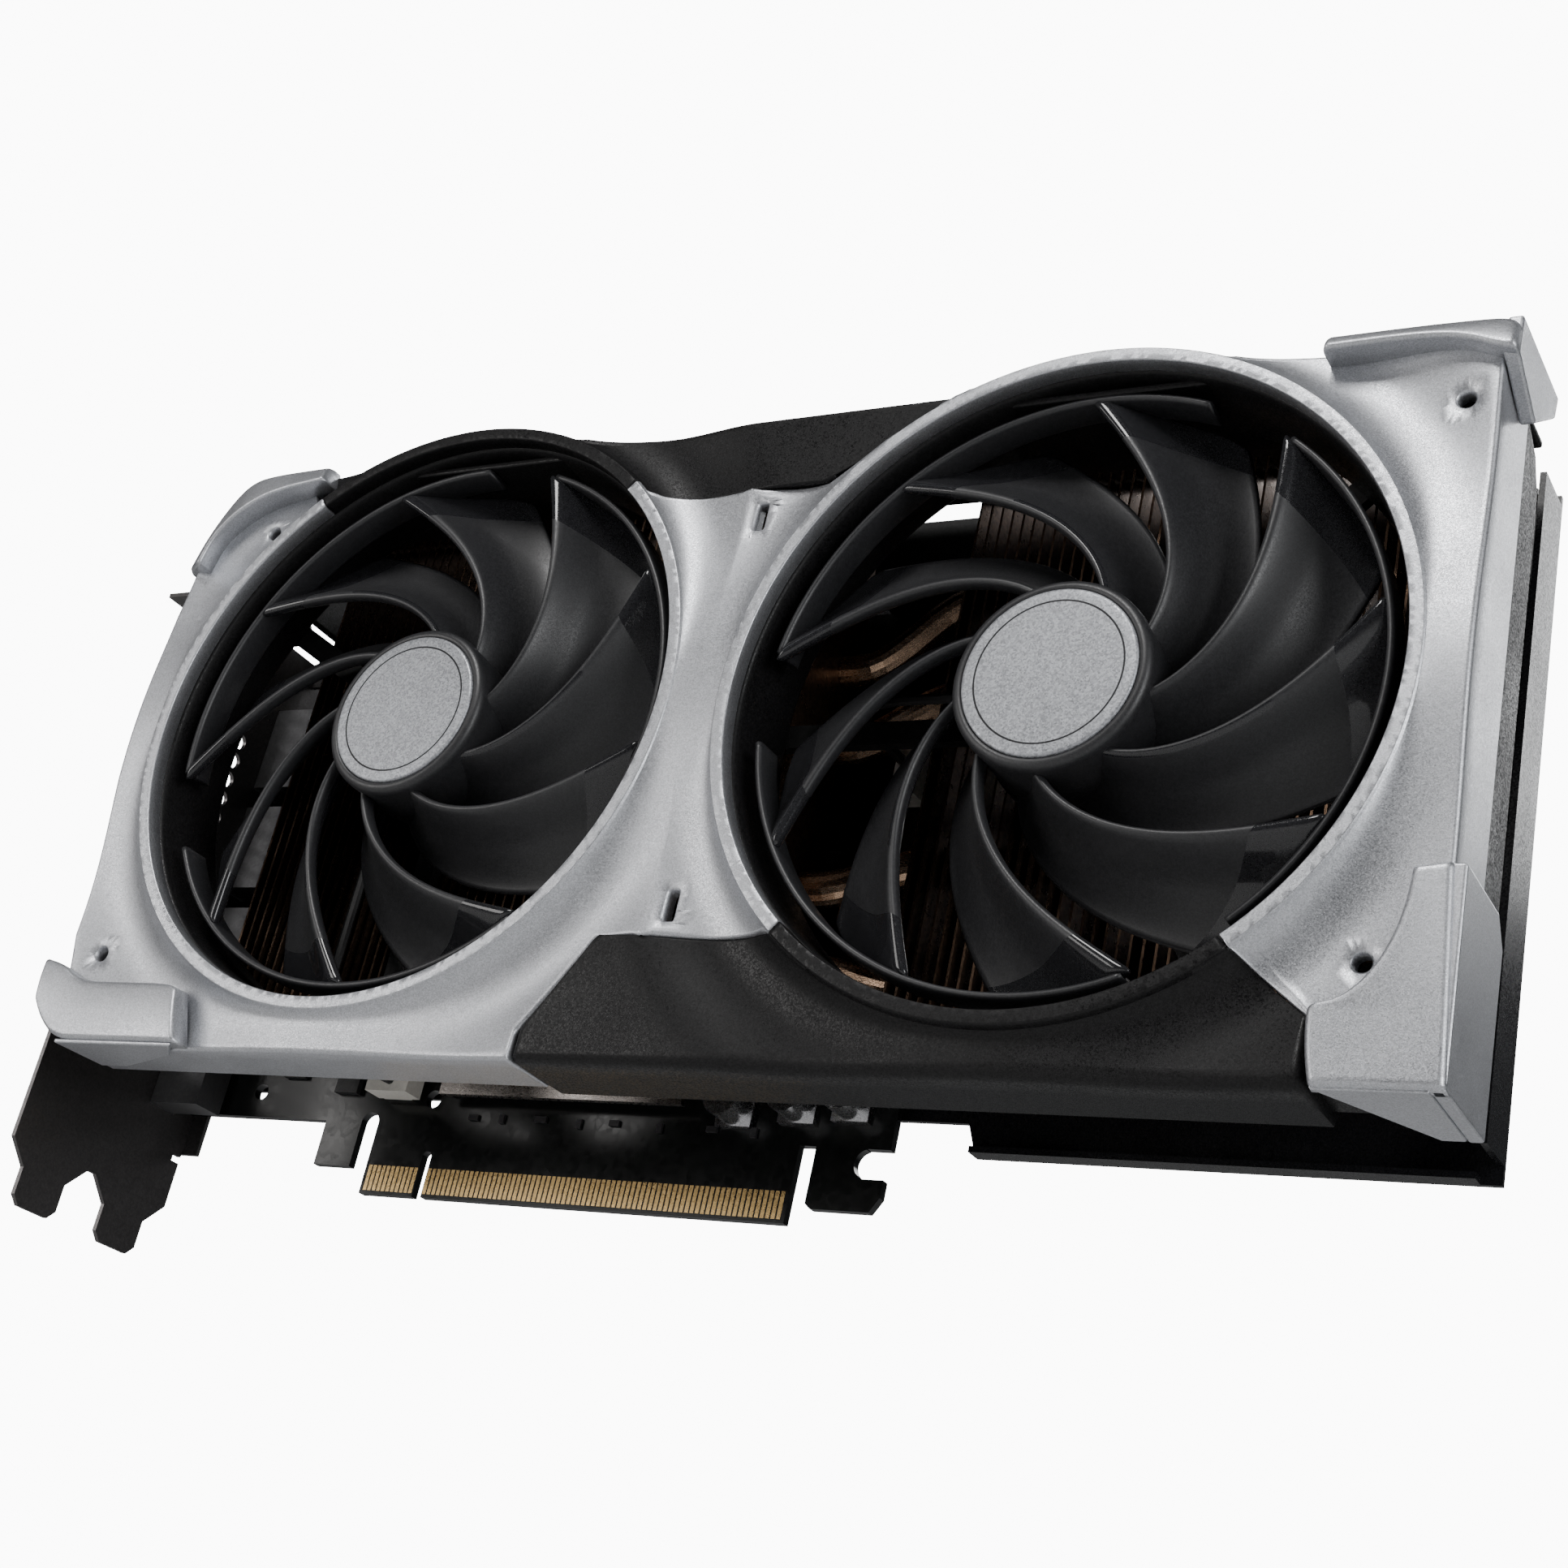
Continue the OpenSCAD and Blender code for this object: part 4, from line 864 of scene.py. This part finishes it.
def blade(index, phase):
    """One blade as a grid over radius and the way round its section: s runs from the
    leading edge (0) to the trailing edge (1) on one face and back on the other;
    depth = front + fall (1 - (1 - s)^1.5), and the thickness swells to a round nose.
    The third value is 0.5 plus a quarter of the distance inside a polished patch."""
    free = index % 3 == 0
    last_r = 48.9 if free else tie_r + 0.6
    tip_turn = np.linspace(0.15, 1, 6) * math.pi / 2
    r = np.concatenate([np.linspace(hub_r - 1.5, last_r - tip_round, 44),
                        last_r - tip_round * (1 - np.sin(tip_turn))])
    half = np.concatenate([0.5 * (1 - np.cos(np.linspace(0, math.pi * 0.28, 9))),
                           np.linspace(0.185, 1, 22)[1:]])
    s = np.concatenate([half, half[::-1][1:-1]])
    side = np.concatenate([np.full(len(half), -1.0), np.full(len(half) - 2, 1.0)])
    nose = np.sqrt(np.clip(1 - (1 - np.clip(s / nose_share, 0, 1)) ** 2, 0, 1))
    tail = np.sqrt(np.clip((1 - s) / tail_share, 0, 1))
    body = 1.3 - 0.9 * smooth_step((s - 0.05) / 0.42)
    thick = nose * tail * body
    rr, ss = np.meshgrid(r, s, indexing="ij")
    span = (rr - hub_r) / (rotor_r - hub_r)
    chord = chord_root + (chord_tip - chord_root) * span
    end = np.clip((last_r - rr) / tip_round, 0, 1)
    nip = np.sqrt(np.clip(1 - (1 - end) ** 2, 0.0, 1))
    rounding = np.where(rr > last_r - tip_round, nip, 1)
    lift = side[None] * thick[None] * rounding
    pull = (1 - rounding) * 0.5 if not free else (1 - rounding) * 0.22
    ss_used = ss * (1 - pull) + pull * 0.12
    turn = np.radians(phase - blade_turn * index + lead_turn(rr) - chord * ss_used)
    depth = blade_front + 0.3 + blade_fall * (1 - (1 - ss_used) ** 1.5) + lift * 0.85
    turn = turn + lift * 0.55 / rr
    points = np.stack([rr * np.cos(turn), depth, rr * np.sin(turn)], -1)
    tip_patch = rr - (41.2 + 3.2 * ss)
    long_patch = np.minimum(0.9 - 30 * np.abs(ss - 0.06), 34 - rr)
    patch = np.maximum(tip_patch, long_patch) if index % 3 == 1 else tip_patch
    polish = np.clip(0.5 + patch / 4, 0, 1).ravel()
    return points.reshape(-1, 3), tube_faces(*rr.shape), polish


tie_profile = [
    (tie_r, 5.0), (tie_r + 0.15, 4.45), (tie_r + 0.6, 4.25), (rotor_r - 0.15, 4.45),
    (rotor_r, 5.0), (rotor_r, 9.6), (rotor_r - 0.3, 10.0), (tie_r + 0.3, 10.0), (tie_r, 9.6),
]


def tie(index, phase):
    """The arc that ties two blade tips behind a free one: a rounded bar whose front
    edge runs level and whose ends stop square."""
    start = phase - 3 * blade_turn * index + lead_turn(48.4)
    points = turned(tie_profile, np.radians(start - np.linspace(1.5, 103, 90)))
    rows, cols = points.shape[:2]
    return points.reshape(-1, 3), tube_faces(rows, cols), np.zeros(rows * cols)


def hub(profile, turns=120):
    """The hub's profile of (radius, depth) points carried once round the axis."""
    points = turned(profile, np.linspace(0, 2 * math.pi, turns, endpoint=False))
    rows, cols = points.shape[:2]
    faces = grid_quads(rows, cols, wrap_rows=True, wrap_cols=True).tolist()
    return points.reshape(-1, 3), faces, np.zeros(rows * cols)


hub_profile = [
    (13.78, 3.2), (13.78, 2.3), (13.95, 2.05), (14.5, 2.0), (15.1, 2.25), (15.5, 2.8),
    (15.6, 3.6), (15.6, 9), (15.6, 14.6), (14.2, 14.6), (14.2, 4.6), (0.02, 4.6), (0.02, 3.2),
]
for name, centre_x, phase in (("left", left_x, 12.2), ("right", right_x, -7.5)):
    built = [hub(hub_profile)]
    built += [blade(k, phase) for k in range(9)]
    built += [tie(k, phase) for k in range(3)]
    offsets = np.cumsum([0] + [len(b[0]) for b in built])
    points = np.concatenate([b[0] for b in built]) + (centre_x, 0, fan_z)
    faces = [[v + first for v in face] for b, first in zip(built, offsets) for face in b[1]]
    rotor = mesh_piece(f"{name}_fan_rotor", points, faces, fan_black)
    mark = rotor.data.attributes.new("polish", "FLOAT", "POINT")
    mark.data.foreach_set("value", np.concatenate([b[2] for b in built]))
    weld(rotor, gap=0.005)
    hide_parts(f"fan_{name}_rotor")
    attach(rotor, f"fan_{name}")


# ---------------------------------------------------------------- Hub badges
# A thin silver disc let into the front of each hub: metal with an even grain, its rim
# rounded over, and one printed ring line near the edge.
def badge_material():
    """Grained silver with a dark printed ring, drawn by distance from the axis."""
    material = finish_material("badge_silver", (0.34, 0.35, 0.37), 0.46, 3600, 0.62, 0.25,
                               metallic=0.55, bump=0.3)
    tree = material.node_tree
    shader = tree.nodes["Principled BSDF"]
    grain = next(n for n in tree.nodes if n.type == "GROUP")
    ring = tree.nodes.new("ShaderNodeAttribute")
    ring.attribute_name = "printed"
    line = tree.nodes.new("ShaderNodeMapRange")
    line.inputs["From Min"].default_value = 0.45
    line.inputs["From Max"].default_value = 0.55
    ink = tree.nodes.new("ShaderNodeMix")
    ink.data_type = "RGBA"
    ink.inputs["B"].default_value = (0.02, 0.02, 0.022, 1)
    tree.links.new(ring.outputs["Fac"], line.inputs["Value"])
    tree.links.new(line.outputs["Result"], ink.inputs["Factor"])
    tree.links.new(grain.outputs["Colour"], ink.inputs["A"])
    tree.links.new(ink.outputs["Result"], shader.inputs["Base Color"])
    return material


badge_silver = badge_material()
print_in, print_out = 11.54, 11.84
badge_rows = [
    (0.0, 1.75), (6.0, 1.75), (11.3, 1.75), (11.52, 1.75), (11.56, 1.75), (11.82, 1.75),
    (11.86, 1.75), (13.2, 1.75), (13.55, 1.8), (13.7, 1.95), (13.74, 2.3), (13.74, 3.15),
    (0.0, 3.15),
]
for name, centre_x in (("left", left_x), ("right", right_x)):
    disc = lathe(f"{name}_fan_badge", centre_x, badge_rows, badge_silver, 160)
    spots = np.zeros(len(disc.data.vertices) * 3)
    disc.data.vertices.foreach_get("co", spots)
    spots = spots.reshape(-1, 3)
    away = np.hypot(spots[:, 0] / MM - centre_x, spots[:, 2] / MM - fan_z)
    mark = disc.data.attributes.new("printed", "FLOAT", "POINT")
    mark.data.foreach_set("value", ((away > print_in) & (away < print_out)).astype(float))
    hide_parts(f"fan_{name}_badge")
    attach(disc, f"fan_{name}")


# ---------------------------------------------------------------- Machined and bought parts
# Board, bracket, sockets, cooler, motors, screws and backplate, whose CAD shape is the
# final one: each keeps its mesh and gets its finish, and the power socket soft edges.
nodes = frame["nodes"]
bracket_steel = finish_material("bracket_steel", (0.10, 0.095, 0.095), 0.34, 3000, 0.25,
                                0.1, metallic=0.8, bump=0.1)
cad_finishes = {
    "silver_paint": silver,
    "black_shroud": black_plastic,
    "bracket_steel": bracket_steel,
    "board_mask": finish_material("board_mask", (0.006, 0.0065, 0.0065), 0.22, 900, 0.3,
                                  0.08, bump=0.03),
    "gold_contact": finish_material("gold_contact", (0.62, 0.42, 0.18), 0.3, 2500, 0.25,
                                    0.12, metallic=0.9),
    "socket_shell": finish_material("socket_shell", (0.16, 0.16, 0.165), 0.5, 2000, 0.15,
                                    0.1, metallic=1.0, stretch=(1, 8, 1)),
    "black_moulding": finish_material("black_moulding", (0.012, 0.012, 0.012), 0.4, 3500,
                                      0.5, 0.15, bump=0.15),
    "white_moulding": finish_material("white_moulding", (0.62, 0.6, 0.55), 0.45, 2500, 0.1,
                                      0.1, bump=0.1),
    "chip_substrate": finish_material("chip_substrate", (0.02, 0.06, 0.03), 0.35, 1500,
                                      0.3, 0.1),
    "silicon": finish_material("silicon", (0.25, 0.26, 0.3), 0.08, 900, 0.1, 0.02,
                               metallic=0.9),
    "chip_resin": finish_material("chip_resin", (0.018, 0.018, 0.019), 0.5, 6000, 0.5, 0.2,
                                  bump=0.2),
    "inductor_grey": finish_material("inductor_grey", (0.08, 0.08, 0.085), 0.6, 5000, 0.4,
                                     0.15, bump=0.25),
    "capacitor_can": finish_material("capacitor_can", (0.62, 0.62, 0.63), 0.28, 2500, 0.12,
                                     0.12, metallic=1.0, stretch=(6, 1, 6)),
    "thermal_pad": finish_material("thermal_pad", (0.28, 0.3, 0.33), 0.75, 3000, 0.2, 0.1,
                                   bump=0.2),
    "plate_metal": finish_material("plate_metal", (0.36, 0.33, 0.31), 0.3, 3000, 0.2, 0.15,
                                   metallic=1.0, stretch=(1, 1, 10)),
    "dark_fin": finish_material("dark_fin", (0.15, 0.095, 0.062), 0.36, 1800, 0.4, 0.2,
                                metallic=0.9, stretch=(4, 1, 1)),
    "pipe_nickel": finish_material("pipe_nickel", (0.62, 0.42, 0.29), 0.26, 2600, 0.45, 0.16,
                                   metallic=1.0, stretch=(1, 8, 8)),
    "magnet": finish_material("magnet", (0.02, 0.02, 0.02), 0.6, 4000, 0.3, 0.1),
    "shaft_steel": finish_material("shaft_steel", (0.5, 0.5, 0.51), 0.2, 3000, 0.15, 0.1,
                                   metallic=1.0, stretch=(1, 8, 1)),
    "brass_spacer": finish_material("brass_spacer", (0.55, 0.4, 0.18), 0.3, 3000, 0.2, 0.1,
                                    metallic=1.0, stretch=(1, 6, 1)),
    "winding_copper": finish_material("winding_copper", (0.4, 0.17, 0.07), 0.35, 3500, 0.4,
                                      0.2, metallic=0.8, stretch=(1, 6, 1)),
    "lead_sleeve": finish_material("lead_sleeve", (0.012, 0.012, 0.012), 0.5, 3500, 0.4,
                                   0.15, bump=0.2),
    "black_screw": finish_material("black_screw", (0.03, 0.03, 0.03), 0.35, 3000, 0.3, 0.1,
                                   metallic=0.7),
    "bright_screw": finish_material("bright_screw", (0.5, 0.5, 0.5), 0.3, 3000, 0.2, 0.15,
                                    metallic=1.0),
    "backplate_black": finish_material("backplate_black", (0.008, 0.008, 0.009), 0.28,
                                       3600, 0.5, 0.15, bump=0.1),
    "spring_steel": finish_material("spring_steel", (0.3, 0.3, 0.31), 0.3, 3000, 0.2, 0.15,
                                    metallic=1.0, stretch=(8, 1, 1)),
}
specular_levels = {"backplate_black": 0.2, "black_moulding": 0.25, "board_mask": 0.35}
for slot_name, level in specular_levels.items():
    shine = cad_finishes[slot_name].node_tree.nodes["Principled BSDF"]
    shine.inputs["Specular IOR Level"].default_value = level
finish_of = {part["node"]: part["material_slot"] for part in frame["record"]["subparts"]}
for name, node in nodes.items():
    if finish_of[name] not in cad_finishes:
        continue
    node.data.materials.clear()
    node.data.materials.append(cad_finishes[finish_of[name]])

power_socket = nodes["power_socket"]
socket_edge = 0.15
merge = power_socket.modifiers.new("merge", "WELD")
merge.merge_threshold = 0.001 * MM
edge = power_socket.modifiers.new("edge", "BEVEL")
edge.width = socket_edge * MM
edge.segments = 3
edge.limit_method = "ANGLE"
edge.angle_limit = math.radians(30)
